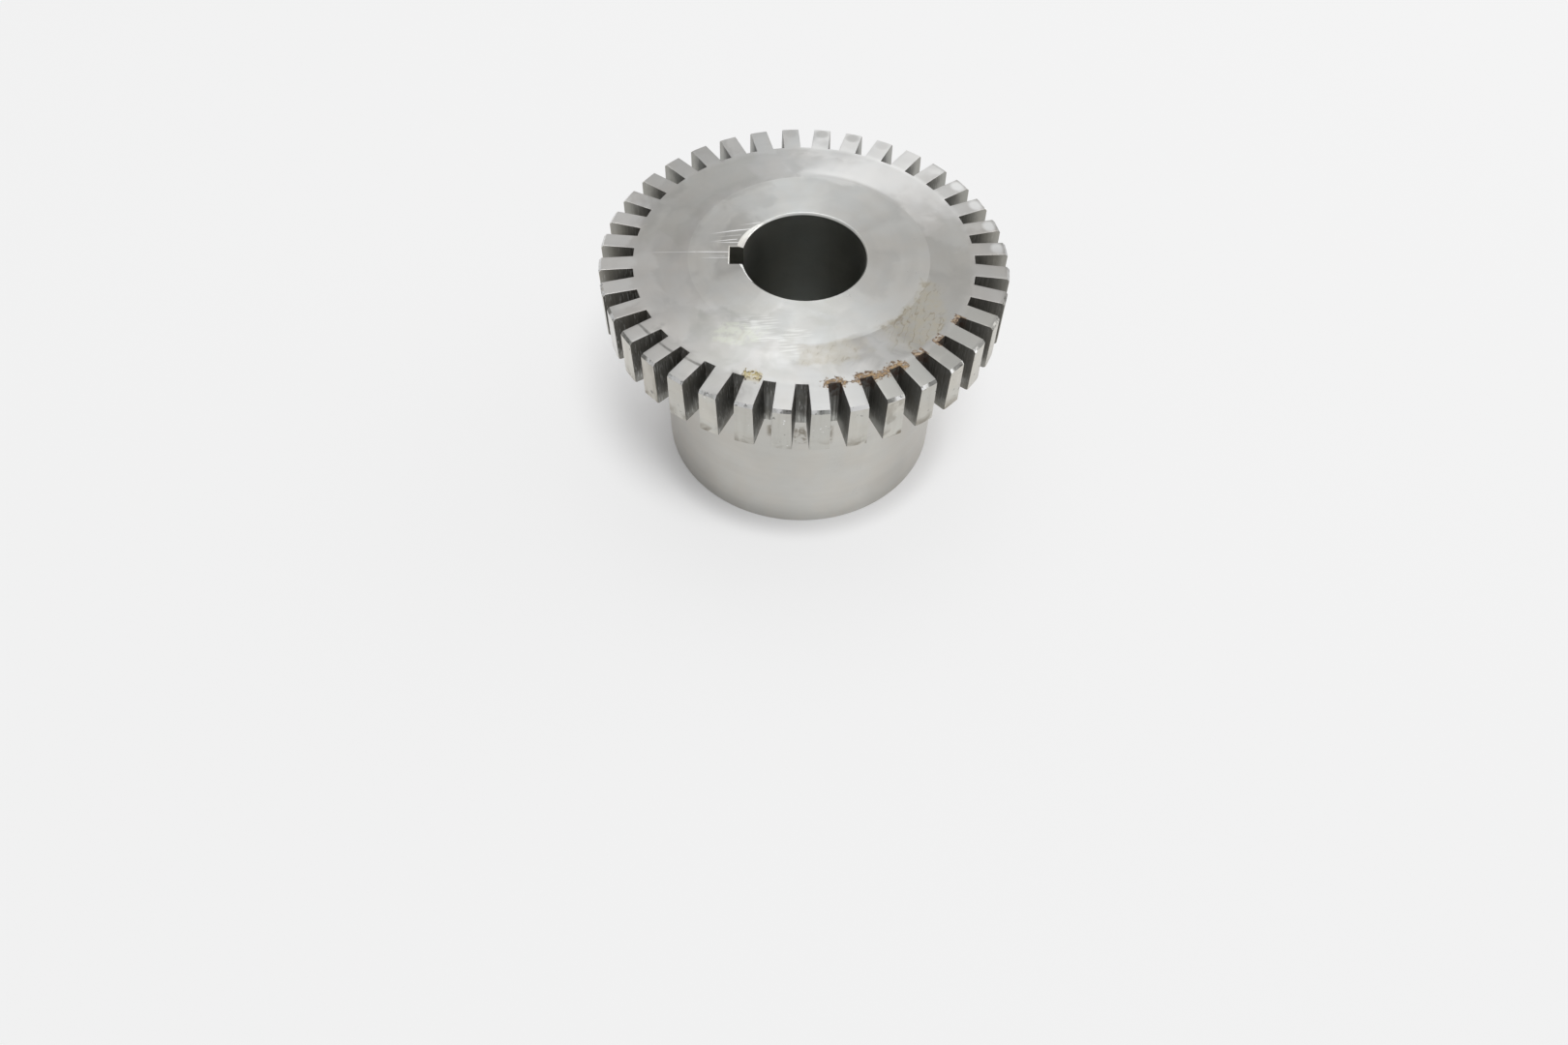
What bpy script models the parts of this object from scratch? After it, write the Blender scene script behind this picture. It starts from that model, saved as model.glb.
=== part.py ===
"""One hub of a tapered-grid shaft coupling, with its set screw.

The hub is a single turned steel piece: a boss, and a flange whose edge is slotted for the rungs of
a grid spring.  A bore and a keyway take the shaft and its key.  The set screw is threaded into the
boss, over the keyway, and is driven in to hold the key.

Frame: the hub stands on the end of its boss.  The origin is on the bore's axis at that end, +Z runs
up the bore to the slotted face, and -X points at the keyway and at the set screw.
"""

import math

import bmesh
import bpy
from mathutils import Matrix

MM = 0.001

# Hub: lengths along the bore, and the diameters of what is turned
HUB_LENGTH = 63.5 * MM
BOSS_DIAMETER = 76.2 * MM
BOSS_CHAMFER = 0.3 * MM
FLANGE_DIAMETER = 104.4 * MM
FLANGE_THICKNESS = 13.9 * MM
FLANGE_FILLET = 1.2 * MM
RIM_CHAMFER = 0.7 * MM
BACK_CHAMFER = 0.4 * MM
PAD_DIAMETER = 62.0 * MM
FACE_RELIEF = 0.3 * MM

# Bore and keyway
BORE_DIAMETER = 31.75 * MM
BORE_CHAMFER = 0.5 * MM
KEYWAY_WIDTH = 6.35 * MM
KEYWAY_DEPTH = 3.175 * MM

# Slots for the grid spring: wider towards the rim, and flaring towards the face
SLOT_COUNT = 36
SLOT_DEPTH = 8.7 * MM
SLOT_ROOT_WIDTH = 2.6 * MM
SLOT_RIM_WIDTH = 4.2 * MM
SLOT_FLARE = 0.4 * MM
SLOT_FLARE_BENDS = 3
SLOT_TURN = math.radians(-1.3)

# Set screw: the thread, the socket for its key, and the cup that bites
SCREW_DIAMETER = 9.525 * MM
SCREW_LENGTH = 9.525 * MM
SCREW_PITCH = 25.4 * MM / 16
THREAD_DEPTH_PER_PITCH = 0.6134
THREAD_FLAT_PER_PITCH = 0.125
SCREW_END_DIAMETER = 7.3 * MM
SOCKET_ACROSS_FLATS = 4.7625 * MM
SOCKET_DEPTH = 4.0 * MM
CUP_DIAMETER = 5.2 * MM
CUP_ANGLE = math.radians(118)

# Tapped hole of the set screw
SCREW_HEIGHT = 19.05 * MM
SCREW_RECESS = 1.0 * MM
SCREW_CLEARANCE = 0.25 * MM
COUNTERSINK = 0.7 * MM

# Facets, and how far a cutter reaches past what it cuts
TURNED_SIDES = 72
SCREW_SIDES = 32
RINGS_PER_THREAD = 6
FILLET_BENDS = 3
CUT_PAST = 2.0 * MM
MERGE = 0.01 * MM
SMOOTH_ANGLE = math.radians(30)

# What follows from the sizes above
BORE_RADIUS = BORE_DIAMETER / 2
BOSS_RADIUS = BOSS_DIAMETER / 2
FLANGE_RADIUS = FLANGE_DIAMETER / 2
FACE_HEIGHT = HUB_LENGTH - FACE_RELIEF
BACK_HEIGHT = FACE_HEIGHT - FLANGE_THICKNESS
ROOT_RADIUS = FLANGE_RADIUS - SLOT_DEPTH
HOLE_RADIUS = SCREW_DIAMETER / 2 + SCREW_CLEARANCE

# Turns +Z to -X, the way out of the tapped hole
OUTWARDS = Matrix.Rotation(math.radians(-90), 4, "Y")

# Colours, roughness and metallic value of each finish
TURNED_STEEL = ((0.56, 0.55, 0.53, 1.0), 0.32, 1.0)
BLACK_OXIDE = ((0.07, 0.075, 0.085, 1.0), 0.45, 0.9)


def clear_scene():
    """Removes every object of the open scene."""
    for old in list(bpy.data.objects):
        bpy.data.objects.remove(old, do_unlink=True)


def new_collection(name):
    """A collection under the scene's own."""
    made = bpy.data.collections.new(name)
    bpy.context.scene.collection.children.link(made)
    return made


def new_material(name, finish):
    """A Principled material of a finish: colour, roughness and metallic value."""
    colour, roughness, metallic = finish
    made = bpy.data.materials.new(name)
    made.use_nodes = True
    shader = made.node_tree.nodes["Principled BSDF"]
    shader.inputs["Base Color"].default_value = colour
    shader.inputs["Roughness"].default_value = roughness
    shader.inputs["Metallic"].default_value = metallic
    made.diffuse_color = colour
    return made


def new_object(name, mesh, collection):
    """An object that shows a mesh."""
    made = bpy.data.objects.new(name, mesh)
    collection.objects.link(made)
    return made


def mesh_of(name, shape):
    """The mesh of a bmesh, which is freed."""
    mesh = bpy.data.meshes.new(name)
    bmesh.ops.recalc_face_normals(shape, faces=shape.faces)
    shape.to_mesh(mesh)
    shape.free()
    return mesh


def turned(name, profile, sides, collection):
    """A piece turned about Z from a closed profile of (radius, height) that runs down its outside."""
    mesh = bpy.data.meshes.new(name)
    points = [(radius, 0, height) for radius, height in profile]
    edges = [(i, (i + 1) % len(points)) for i in range(len(points))]
    mesh.from_pydata(points, edges, [])
    made = new_object(name, mesh, collection)
    screw = made.modifiers.new("Turn", "SCREW")
    screw.steps = screw.render_steps = sides
    screw.use_merge_vertices = True
    screw.merge_threshold = MERGE
    return made


def make_cutter(cutter):
    """Marks an object as a cutter, which isn't a piece of the part."""
    cutter.hide_render = True
    cutter.display_type = "WIRE"
    return cutter


def cut(piece, cutter):
    """Takes a cutter away from a piece."""
    boolean = piece.modifiers.new(cutter.name, "BOOLEAN")
    boolean.operation = "DIFFERENCE"
    boolean.object = make_cutter(cutter)


def settle(piece, material):
    """Turns a piece's modifiers into its mesh, smooth on its round faces, and gives it its material."""
    bpy.context.view_layer.update()
    evaluated = piece.evaluated_get(bpy.context.evaluated_depsgraph_get())
    mesh = bpy.data.meshes.new_from_object(evaluated)
    piece.modifiers.clear()
    piece.data = mesh
    mesh.name = piece.name
    mesh.materials.clear()
    mesh.materials.append(material)
    mesh.shade_smooth()
    mesh.set_sharp_from_angle(angle=SMOOTH_ANGLE)


def arc(centre, radius, start, end, bends):
    """Points on an arc about a (radius, height) centre, from one angle to another in degrees."""
    angles = [math.radians(start + (end - start) * i / bends) for i in range(bends + 1)]
    return [(centre[0] + radius * math.cos(a), centre[1] + radius * math.sin(a)) for a in angles]


def hub_profile():
    """The section of the hub: out over its face, down its outside, and up its bore."""
    fillet_centre = (BOSS_RADIUS + FLANGE_FILLET, BACK_HEIGHT - FLANGE_FILLET)
    return [
        (BORE_RADIUS + BORE_CHAMFER, HUB_LENGTH),
        (PAD_DIAMETER / 2, HUB_LENGTH),
        (FLANGE_RADIUS - RIM_CHAMFER, FACE_HEIGHT),
        (FLANGE_RADIUS, FACE_HEIGHT - RIM_CHAMFER),
        (FLANGE_RADIUS, BACK_HEIGHT + BACK_CHAMFER),
        (FLANGE_RADIUS - BACK_CHAMFER, BACK_HEIGHT),
        *arc(fillet_centre, FLANGE_FILLET, 90, 180, FILLET_BENDS),
        (BOSS_RADIUS, BOSS_CHAMFER),
        (BOSS_RADIUS - BOSS_CHAMFER, 0),
        (BORE_RADIUS + BORE_CHAMFER, 0),
        (BORE_RADIUS, BORE_CHAMFER),
        (BORE_RADIUS, HUB_LENGTH - BORE_CHAMFER),
    ]


def slot_width(radius, height):
    """Width of a slot: it widens straight along the radius, and along a curve up to the face."""
    outwards = (radius - ROOT_RADIUS) / SLOT_DEPTH
    upwards = min(max((height - BACK_HEIGHT) / FLANGE_THICKNESS, 0), 1)
    straight = SLOT_ROOT_WIDTH + (SLOT_RIM_WIDTH - SLOT_ROOT_WIDTH) * outwards
    return straight + SLOT_FLARE * upwards**2


def slot_block():
    """A block that fills one slot at +X, from a cube that is bent along the slot's flare."""
    block = bmesh.new()
    bmesh.ops.create_cube(block, size=1)
    inner, outer = ROOT_RADIUS, FLANGE_RADIUS + CUT_PAST
    low, high = BACK_HEIGHT - CUT_PAST, HUB_LENGTH + CUT_PAST
    for vert in block.verts:
        vert.co.x = inner if vert.co.x < 0 else outer
        vert.co.z = low if vert.co.z < 0 else high
    for bend in range(SLOT_FLARE_BENDS + 1):
        level = BACK_HEIGHT + FLANGE_THICKNESS * bend / SLOT_FLARE_BENDS
        geometry = [*block.verts, *block.edges, *block.faces]
        bmesh.ops.bisect_plane(block, geom=geometry, plane_co=(0, 0, level), plane_no=(0, 0, 1))
    for vert in block.verts:
        vert.co.y = math.copysign(slot_width(vert.co.x, vert.co.z) / 2, vert.co.y)
    return block


def slot_cutter(collection):
    """All slots of the flange, as one cutter of separate blocks."""
    block = slot_block()
    one_slot = mesh_of("slot_block", block)
    slots = bmesh.new()
    for index in range(SLOT_COUNT):
        start = len(slots.verts)
        slots.from_mesh(one_slot)
        slots.verts.ensure_lookup_table()
        turn = Matrix.Rotation(SLOT_TURN + math.tau * index / SLOT_COUNT, 4, "Z")
        bmesh.ops.transform(slots, matrix=turn, verts=slots.verts[start:])
    bpy.data.meshes.remove(one_slot)
    return new_object("slot_cutter", mesh_of("slot_cutter", slots), collection)


def keyway_cutter(collection):
    """The keyway at -X, from the bore's axis out to its floor and past both ends of the hub."""
    floor = BORE_RADIUS + KEYWAY_DEPTH
    size = Matrix.Diagonal((floor, KEYWAY_WIDTH, HUB_LENGTH + 2 * CUT_PAST, 1))
    place = Matrix.Translation((-floor / 2, 0, HUB_LENGTH / 2))
    block = bmesh.new()
    bmesh.ops.create_cube(block, size=1, matrix=place @ size)
    return new_object("keyway_cutter", mesh_of("keyway_cutter", block), collection)


def screw_hole_cutter(collection):
    """The set screw's hole, from the bore out through the boss, with its countersink."""
    mouth = HOLE_RADIUS + COUNTERSINK + CUT_PAST
    inner_end = BORE_RADIUS / 2
    profile = [
        (0, BOSS_RADIUS + CUT_PAST),
        (mouth, BOSS_RADIUS + CUT_PAST),
        (HOLE_RADIUS, BOSS_RADIUS - COUNTERSINK),
        (HOLE_RADIUS, inner_end),
        (0, inner_end),
    ]
    made = turned("screw_hole_cutter", profile, SCREW_SIDES, collection)
    made.matrix_world = Matrix.Translation((0, 0, SCREW_HEIGHT)) @ OUTWARDS
    return made


def thread_radius(angle, height):
    """Radius of the set screw's thread: a V with flat crests and roots that climbs a pitch a turn."""
    crest = SCREW_DIAMETER / 2
    root = crest - THREAD_DEPTH_PER_PITCH * SCREW_PITCH
    along = (height / SCREW_PITCH - angle / math.tau) % 1
    from_crest = 2 * abs(along - 0.5)
    sloped = 1 - 2 * THREAD_FLAT_PER_PITCH
    share = min(max((from_crest - THREAD_FLAT_PER_PITCH) / sloped, 0), 1)
    return crest + (root - crest) * share


def screw_blank():
    """The set screw without its socket and cup, from a cylinder that is cut into rings and shaped."""
    blank = bmesh.new()
    bmesh.ops.create_cone(
        blank,
        cap_ends=True,
        segments=SCREW_SIDES,
        radius1=SCREW_DIAMETER / 2,
        radius2=SCREW_DIAMETER / 2,
        depth=SCREW_LENGTH,
    )
    rings = round(SCREW_LENGTH / SCREW_PITCH * RINGS_PER_THREAD)
    for ring in range(1, rings):
        level = SCREW_LENGTH * (ring / rings - 0.5)
        geometry = [*blank.verts, *blank.edges, *blank.faces]
        bmesh.ops.bisect_plane(blank, geom=geometry, plane_co=(0, 0, level), plane_no=(0, 0, 1))
    for vert in blank.verts:
        angle = math.atan2(vert.co.y, vert.co.x)
        to_end = SCREW_LENGTH / 2 - abs(vert.co.z)
        radius = min(thread_radius(angle, vert.co.z), SCREW_END_DIAMETER / 2 + to_end)
        vert.co.x = radius * math.cos(angle)
        vert.co.y = radius * math.sin(angle)
    return blank


def socket_cutter(collection):
    """The hexagon socket in the set screw's outer end."""
    corner_radius = SOCKET_ACROSS_FLATS / 2 / math.cos(math.pi / 6)
    depth = SOCKET_DEPTH + CUT_PAST
    place = Matrix.Translation((0, 0, SCREW_LENGTH / 2 - SOCKET_DEPTH + depth / 2))
    prism = bmesh.new()
    bmesh.ops.create_cone(
        prism,
        cap_ends=True,
        segments=6,
        radius1=corner_radius,
        radius2=corner_radius,
        depth=depth,
        matrix=place,
    )
    return new_object("socket_cutter", mesh_of("socket_cutter", prism), collection)


def cup_cutter(collection):
    """The cup in the set screw's inner end: a cone that widens past that end."""
    slope = math.tan(CUP_ANGLE / 2)
    height = CUP_DIAMETER / 2 / slope + CUT_PAST
    place = Matrix.Translation((0, 0, -SCREW_LENGTH / 2 - CUT_PAST + height / 2))
    cone = bmesh.new()
    bmesh.ops.create_cone(
        cone,
        cap_ends=True,
        segments=SCREW_SIDES,
        radius1=height * slope,
        radius2=0,
        depth=height,
        matrix=place,
    )
    return new_object("cup_cutter", mesh_of("cup_cutter", cone), collection)


def build_hub(pieces, cutters, steel):
    """The hub: turned, slotted, keyed and drilled."""
    hub = turned("hub", hub_profile(), TURNED_SIDES, pieces)
    cut(hub, slot_cutter(cutters))
    cut(hub, keyway_cutter(cutters))
    cut(hub, screw_hole_cutter(cutters))
    settle(hub, steel)
    return hub


def build_set_screw(pieces, cutters, oxide):
    """The set screw on its own axis, socket up, and then laid in its hole just under the boss."""
    screw = new_object("set_screw", mesh_of("set_screw", screw_blank()), pieces)
    cut(screw, socket_cutter(cutters))
    cut(screw, cup_cutter(cutters))
    settle(screw, oxide)
    middle = BOSS_RADIUS - SCREW_RECESS - SCREW_LENGTH / 2
    screw.matrix_world = Matrix.Translation((-middle, 0, SCREW_HEIGHT)) @ OUTWARDS
    return screw


def main():
    """Builds the hub and its set screw in a collection of their own."""
    clear_scene()
    pieces = new_collection("grid_coupling_hub")
    cutters = new_collection("cutters")
    build_hub(pieces, cutters, new_material("turned_steel", TURNED_STEEL))
    build_set_screw(pieces, cutters, new_material("black_oxide", BLACK_OXIDE))


main()
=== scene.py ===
"""The looks of one hub of a tapered-grid shaft coupling, and of the set screw in its boss.

The hub is bare steel that was turned, bored, key-seated and slotted, and then stored: its face shows
the lathe's lay, dried oil and a little rust beside the slots.  It stands on the end of its boss on a
pale floor, under soft studio light.

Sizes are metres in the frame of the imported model: +Z runs up the bore to the slotted face, and -X
points at the keyway and at the set screw.  Finishes are written in millimetres and degrees.
"""

import logging
import math
from collections.abc import Callable, Iterator
from contextlib import contextmanager
from dataclasses import dataclass
from enum import Enum

import bmesh
import bpy
from mathutils import Matrix, Vector


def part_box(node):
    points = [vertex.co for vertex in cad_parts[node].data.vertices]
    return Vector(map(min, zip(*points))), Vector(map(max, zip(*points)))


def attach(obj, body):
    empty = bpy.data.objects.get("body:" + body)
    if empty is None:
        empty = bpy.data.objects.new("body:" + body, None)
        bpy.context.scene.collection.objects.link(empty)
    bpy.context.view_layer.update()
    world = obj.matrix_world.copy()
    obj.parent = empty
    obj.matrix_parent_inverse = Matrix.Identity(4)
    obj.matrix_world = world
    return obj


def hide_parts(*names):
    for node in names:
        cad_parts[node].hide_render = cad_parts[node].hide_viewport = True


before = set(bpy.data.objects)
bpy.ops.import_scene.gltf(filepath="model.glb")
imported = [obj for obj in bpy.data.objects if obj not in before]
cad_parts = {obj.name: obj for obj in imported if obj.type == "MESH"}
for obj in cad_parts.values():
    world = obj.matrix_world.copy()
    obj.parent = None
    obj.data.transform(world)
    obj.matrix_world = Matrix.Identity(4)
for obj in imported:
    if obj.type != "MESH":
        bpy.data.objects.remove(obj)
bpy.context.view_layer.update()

LOG = logging.getLogger("coupling_hub")

MM = 0.001
PER_METRE = 1000.0
FULL_TURN = 360.0
MERGE = 0.002 * MM
CUT_PAST = 2.0 * MM
SMOOTH_ANGLE = math.radians(38)
TOOTH_CORNER = math.radians(50)
TURNED_CORNER = math.radians(30)
OUTWARDS = Matrix.Rotation(math.radians(-90), 4, "Y")

# How far a normal has to point one way for its face to be an end, level, sloped or round
END = 0.9
LEVEL = 0.97
SLOPED = 0.3
ROUND = 0.6

# The faces of a chamfer lie within this many of its widths
CHAMFER_REACH = 1.5

# The flat grid that half a tooth is made from, two units wide each way
GRID_SIZE = 2
GRID_ROWS = 2
GRID_COLUMNS = 3
GRID_SLOT_END = -0.5
GRID_SIDE = 0.99

# Places on the hub, in millimetres and degrees
SLOT_COUNT = 36
SLOT_ANGLE = FULL_TURN / SLOT_COUNT
SLOT_TURN = -1.3
SLOT_ROOT = 43.3
SLOT_PITCH = math.radians(SLOT_ANGLE) * SLOT_ROOT
SLOT_CORNER = 1.4
TOOTH_END = 49.7
TOOTH_END_REACH = 1.9
SLOTTED_RUN = 40.0
SPILL = (-16.0, -27.4)
SPILL_REACH = (6.5, 3.6)

Colour = tuple[float, float, float]
WHITE = (1.0, 1.0, 1.0)
NOISE_MIDDLE = 0.5


class Part(Enum):
    """What is picked on a mesh in edit mode, with the name of the list that holds it."""

    VERT = "verts"
    EDGE = "edges"
    FACE = "faces"


class Zone(Enum):
    """Surfaces of the hub that were cut or worn alike, in the order of their material slots."""

    PAD = 0
    RING = 1
    CHAMFER = 2
    RIM = 3
    SLOT = 4
    BOSS = 5
    BORE = 6
    LIP = 7
    BACK = 8


class Lay(Enum):
    """Which way a cut's tool marks run: round a flat face, round a cylinder, or along the bore."""

    FACED = "faced"
    TURNED = "turned"
    SLOTTED = "slotted"


@dataclass(frozen=True)
class Stretch:
    """A stretch of angles about the hub's axis, in degrees.

    Attributes:
        start: The first angle, which may be below 0.
        end: The last angle, which may be past a full turn.
        soft: Degrees over which it fades at either end.
        strength: How strongly it is marked.
    """

    start: float
    end: float
    soft: float = 1.0
    strength: float = 1.0


RUSTED_SLOTS = tuple(
    Stretch(*ends) for ends in ((274, 284), (285, 303), (307, 311), (316, 320), (327, 331))
)
# Stretches of the chamfers that get painted shade
DARK_CHAMFERS = tuple(
    Stretch(*ends)
    for ends in (
        (200.5, 203.0),
        (209.0, 218.0),
        (220.8, 222.6),
        (264.3, 266.0),
        (273.6, 275.6),
        (291.0, 293.0),
        (304.0, 306.0),
        (312.8, 315.5),
        (322.6, 349.0),
    )
)


class Signal:
    """An output socket of a shader node, with Python's operators for maths on its values."""

    def __init__(self, sheet: "NodeSheet", socket: bpy.types.NodeSocket) -> None:
        """Wraps one output socket of a sheet's node."""
        self.sheet = sheet
        self.socket = socket

    def __add__(self, other: "Signal | float") -> "Signal":
        """Sum."""
        return self.sheet.maths("ADD", self, other)

    def __sub__(self, other: "Signal | float") -> "Signal":
        """Difference."""
        return self.sheet.maths("SUBTRACT", self, other)

    def __rsub__(self, other: float) -> "Signal":
        """Difference from a number."""
        return self.sheet.maths("SUBTRACT", other, self)

    def __mul__(self, other: "Signal | float") -> "Signal":
        """Product."""
        return self.sheet.maths("MULTIPLY", self, other)

    def __truediv__(self, other: "Signal | float") -> "Signal":
        """Quotient."""
        return self.sheet.maths("DIVIDE", self, other)

    def __pow__(self, other: "Signal | float") -> "Signal":
        """Power."""
        return self.sheet.maths("POWER", self, other)

    def __mod__(self, other: "Signal | float") -> "Signal":
        """Remainder, which is never negative."""
        return self.sheet.maths("FLOORED_MODULO", self, other)

    def __abs__(self) -> "Signal":
        """Size without its sign."""
        return self.sheet.maths("ABSOLUTE", self)

    __radd__ = __add__
    __rmul__ = __mul__

    def rise(self, low: float, high: float) -> "Signal":
        """A smooth step.

        Args:
            low: The value at which it is 0.
            high: The value at which it is 1, which may be the lower one.

        Returns:
            The step.
        """
        if high < low:
            return 1 - self.rise(high, low)
        settings = {"interpolation_type": "SMOOTHSTEP"}
        limits = {"Value": self, "From Min": low, "From Max": high}
        return self.sheet.node("ShaderNodeMapRange", settings, limits)

    def sway(self, size: float) -> "Signal":
        """Noise as a drift to both sides, of about a size from end to end."""
        return (self - NOISE_MIDDLE) * size

    def squares(self, other: "Signal") -> "Signal":
        """Sum of the squares of two values."""
        return self * self + other * other

    def hypot(self, other: "Signal") -> "Signal":
        """Distance over two values at right angles."""
        return self.squares(other) ** 0.5

    def band(self, low: float, high: float, soft: float) -> "Signal":
        """1 between two values, fading to 0 outside them."""
        return self.rise(low - soft, low) * self.rise(high + soft, high)


class NodeSheet:
    """The node tree of one material or world, filled by code."""

    def __init__(self, owner: "bpy.types.Material | bpy.types.World") -> None:
        """Empties the tree of its owner."""
        owner.use_nodes = True
        self.owner = owner
        self.tree = owner.node_tree
        self.tree.nodes.clear()

    def node(
        self,
        kind: str,
        settings: "dict[str, object] | None" = None,
        sockets: "dict[str | int, object] | None" = None,
        out: "str | int" = 0,
    ) -> Signal:
        """Adds a node.

        Args:
            kind: The node's type.
            settings: Its own settings, which are set first.
            sockets: Values or links of its inputs, by name or by number.
            out: The output that is wanted.

        Returns:
            That output.
        """
        made = self.tree.nodes.new(kind)
        for name, value in (settings or {}).items():
            setattr(made, name, value)
        for name, value in (sockets or {}).items():
            socket = made.inputs[name]
            if isinstance(value, Signal):
                self.tree.links.new(value.socket, socket)
            elif socket.type == "RGBA":
                socket.default_value = (*value, 1.0)
            else:
                socket.default_value = value
        return Signal(self, made.outputs[out] if made.outputs else None)

    def maths(self, operation: str, *values: "Signal | float") -> Signal:
        """One Math node on one or two values."""
        return self.node("ShaderNodeMath", {"operation": operation}, dict(enumerate(values)))

    def vector(self, x: "Signal | float", y: "Signal | float", z: "Signal | float") -> Signal:
        """A vector from its three parts."""
        return self.node("ShaderNodeCombineXYZ", None, {"X": x, "Y": y, "Z": z})

    def parts(self, vector: Signal) -> tuple[Signal, ...]:
        """The three parts of a vector."""
        return tuple(self.node("ShaderNodeSeparateXYZ", None, {0: vector}, out=axis) for axis in "XYZ")

    def mix(self, share: "Signal | float", first: object, second: object, way: str = "MIX") -> Signal:
        """A mix of two colours, by a share of the second."""
        settings = {"data_type": "RGBA", "blend_type": way}
        return self.node("ShaderNodeMix", settings, {0: share, 6: first, 7: second}, out=2)

    def noise(
        self, place: Signal, scale: float = 1.0, detail: float = 3.0, warp: float = 0.0
    ) -> Signal:
        """Cloudy noise from 0 to 1, about 0.5."""
        sockets = {"Vector": place, "Scale": scale, "Detail": detail, "Distortion": warp}
        return self.node("ShaderNodeTexNoise", None, sockets)


class Spot:
    """Where a shaded point of the hub lies, in millimetres and degrees about the bore's axis."""

    def __init__(self, sheet: NodeSheet) -> None:
        """Adds the nodes that work out the place."""
        there = {0: sheet.node("ShaderNodeTexCoord", out="Object"), "Scale": PER_METRE}
        self.sheet = sheet
        self.place = sheet.node("ShaderNodeVectorMath", {"operation": "SCALE"}, there)
        self.x, self.y, self.z = sheet.parts(self.place)
        self.radius = self.x.hypot(self.y)
        self.angle = sheet.maths("ARCTAN2", self.y, self.x) * math.degrees(1) % FULL_TURN
        self.east = self.x / self.radius
        self.north = self.y / self.radius

    def from_slot(self) -> Signal:
        """Millimetres along the slots' roots from the middle of the nearest slot."""
        degrees = abs((self.angle + SLOT_ANGLE / 2 - SLOT_TURN) % SLOT_ANGLE - SLOT_ANGLE / 2)
        return degrees * math.radians(SLOT_ROOT)

    def stretch(self, start: float, end: float, soft: float, drift: "Signal | float" = 0.0) -> Signal:
        """1 between two angles about the axis, fading to 0 outside them.

        Args:
            start: The first angle, which may be below 0.
            end: The last angle, which may be past a full turn.
            soft: Degrees over which it fades.
            drift: Degrees by which its ends wander.

        Returns:
            The share.
        """
        turned = (self.angle + drift - (start - soft)) % FULL_TURN
        return turned.band(soft, soft + end - start, soft)

    def marked(self, *stretches: Stretch) -> Signal:
        """The strengths of one or more stretches, added up."""
        shares = [self.stretch(each.start, each.end, each.soft) * each.strength for each in stretches]
        return sum(shares[1:], shares[0])

    def tooth_end(self) -> Signal:
        """A patch on each tooth's top, close to its outer end.

        Returns:
            1 in the middle of the patch, fading to 0 at its edge.
        """
        across = (SLOT_PITCH / 2 - self.from_slot()) / TOOTH_END_REACH
        out = (self.radius - TOOTH_END) / TOOTH_END_REACH
        return across.squares(out).rise(1.3, 0.2)

    def cloud(self, scale: float, detail: float, warp: float = 0.0) -> Signal:
        """Cloudy noise all over the hub."""
        return self.sheet.noise(self.place, scale, detail, warp)

    def marks(self, lay: Lay, width: float, bend: float, detail: float) -> Signal:
        """Noise that is drawn out along the tool marks.

        Args:
            lay: Which way the marks run.
            width: Distance between marks.
            bend: How often a mark changes along its run.
            detail: How many finer layers the noise has.

        Returns:
            The noise, from 0 to 1.
        """
        if lay is Lay.SLOTTED:
            place = self.sheet.vector(self.x / width, self.y / width, self.z * (bend / SLOTTED_RUN))
        else:
            across = self.radius if lay is Lay.FACED else self.z
            place = self.sheet.vector(across / width, self.east * bend, self.north * bend)
        return self.sheet.noise(place, detail=detail)


@dataclass(frozen=True)
class Deposit:
    """Something that lies on the steel, or a place where it is laid bare; some are also laid on as painted
    shade and painted highlights.
    """

    colour: Colour
    roughness: float
    metallic: float
    thickness: float


COOL_TINT = (0.975, 1.0, 0.99)
WARM_TINT = (1.0, 0.978, 0.925)

RUST = Deposit((0.085, 0.042, 0.022), 0.85, 0.0, 0.06)
OCHRE_RUST = Deposit((0.45, 0.28, 0.11), 0.8, 0.0, 0.03)
YELLOW_STAIN = Deposit((0.53, 0.42, 0.12), 0.6, 0.3, 0.01)
DRIED_OIL = Deposit((0.43, 0.39, 0.30), 0.42, 0.7, 0.004)
OIL_EDGE = Deposit((0.18, 0.145, 0.09), 0.5, 0.3, 0.01)
# Dark grime: laid on for smears and specks, and also as painted shade and a painted shadow.
GRIME_AND_SHADE = Deposit((0.04, 0.037, 0.032), 0.55, 0.2, 0.01)
# Bright bare steel: laid on for scratches and nicks, and on the chamfers partly as painted glints.
BRIGHT_CUT_AND_GLINT = Deposit((0.92, 0.92, 0.92), 0.5, 1.0, -0.01)
# Brighter steel: laid on for places worn bright, and in most places as a painted highlight.
RUB_AND_HIGHLIGHT = Deposit((0.90, 0.90, 0.89), 0.30, 1.0, 0.0)
WIPE = Deposit((0.86, 0.87, 0.85), 0.45, 0.95, 0.0)
OIL_SHEEN = Deposit((0.63, 0.67, 0.56), 0.36, 0.95, 0.0)
# A pale, half-metallic coat, laid on as a painted highlight on the bore's edge.
PALE_PAINTED_HIGHLIGHT = Deposit((0.86, 0.86, 0.85), 0.7, 0.25, 0.0)
# Duller steel: laid on for a film of oil at the front, and as painted shade on the ring.
FILM_AND_SHADE = Deposit((0.40, 0.40, 0.365), 0.36, 0.95, 0.0)
# Darker steel: laid on for handling smudges, and in most places as painted shade.
SMUDGE_AND_SHADE = Deposit((0.28, 0.274, 0.262), 0.38, 0.95, 0.0)
# Bright steel, laid on only as a painted highlight on some teeth's outer ends.
PAINTED_HIGHLIGHT = Deposit((0.95, 0.96, 0.96), 0.40, 1.0, 0.0)


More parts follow.
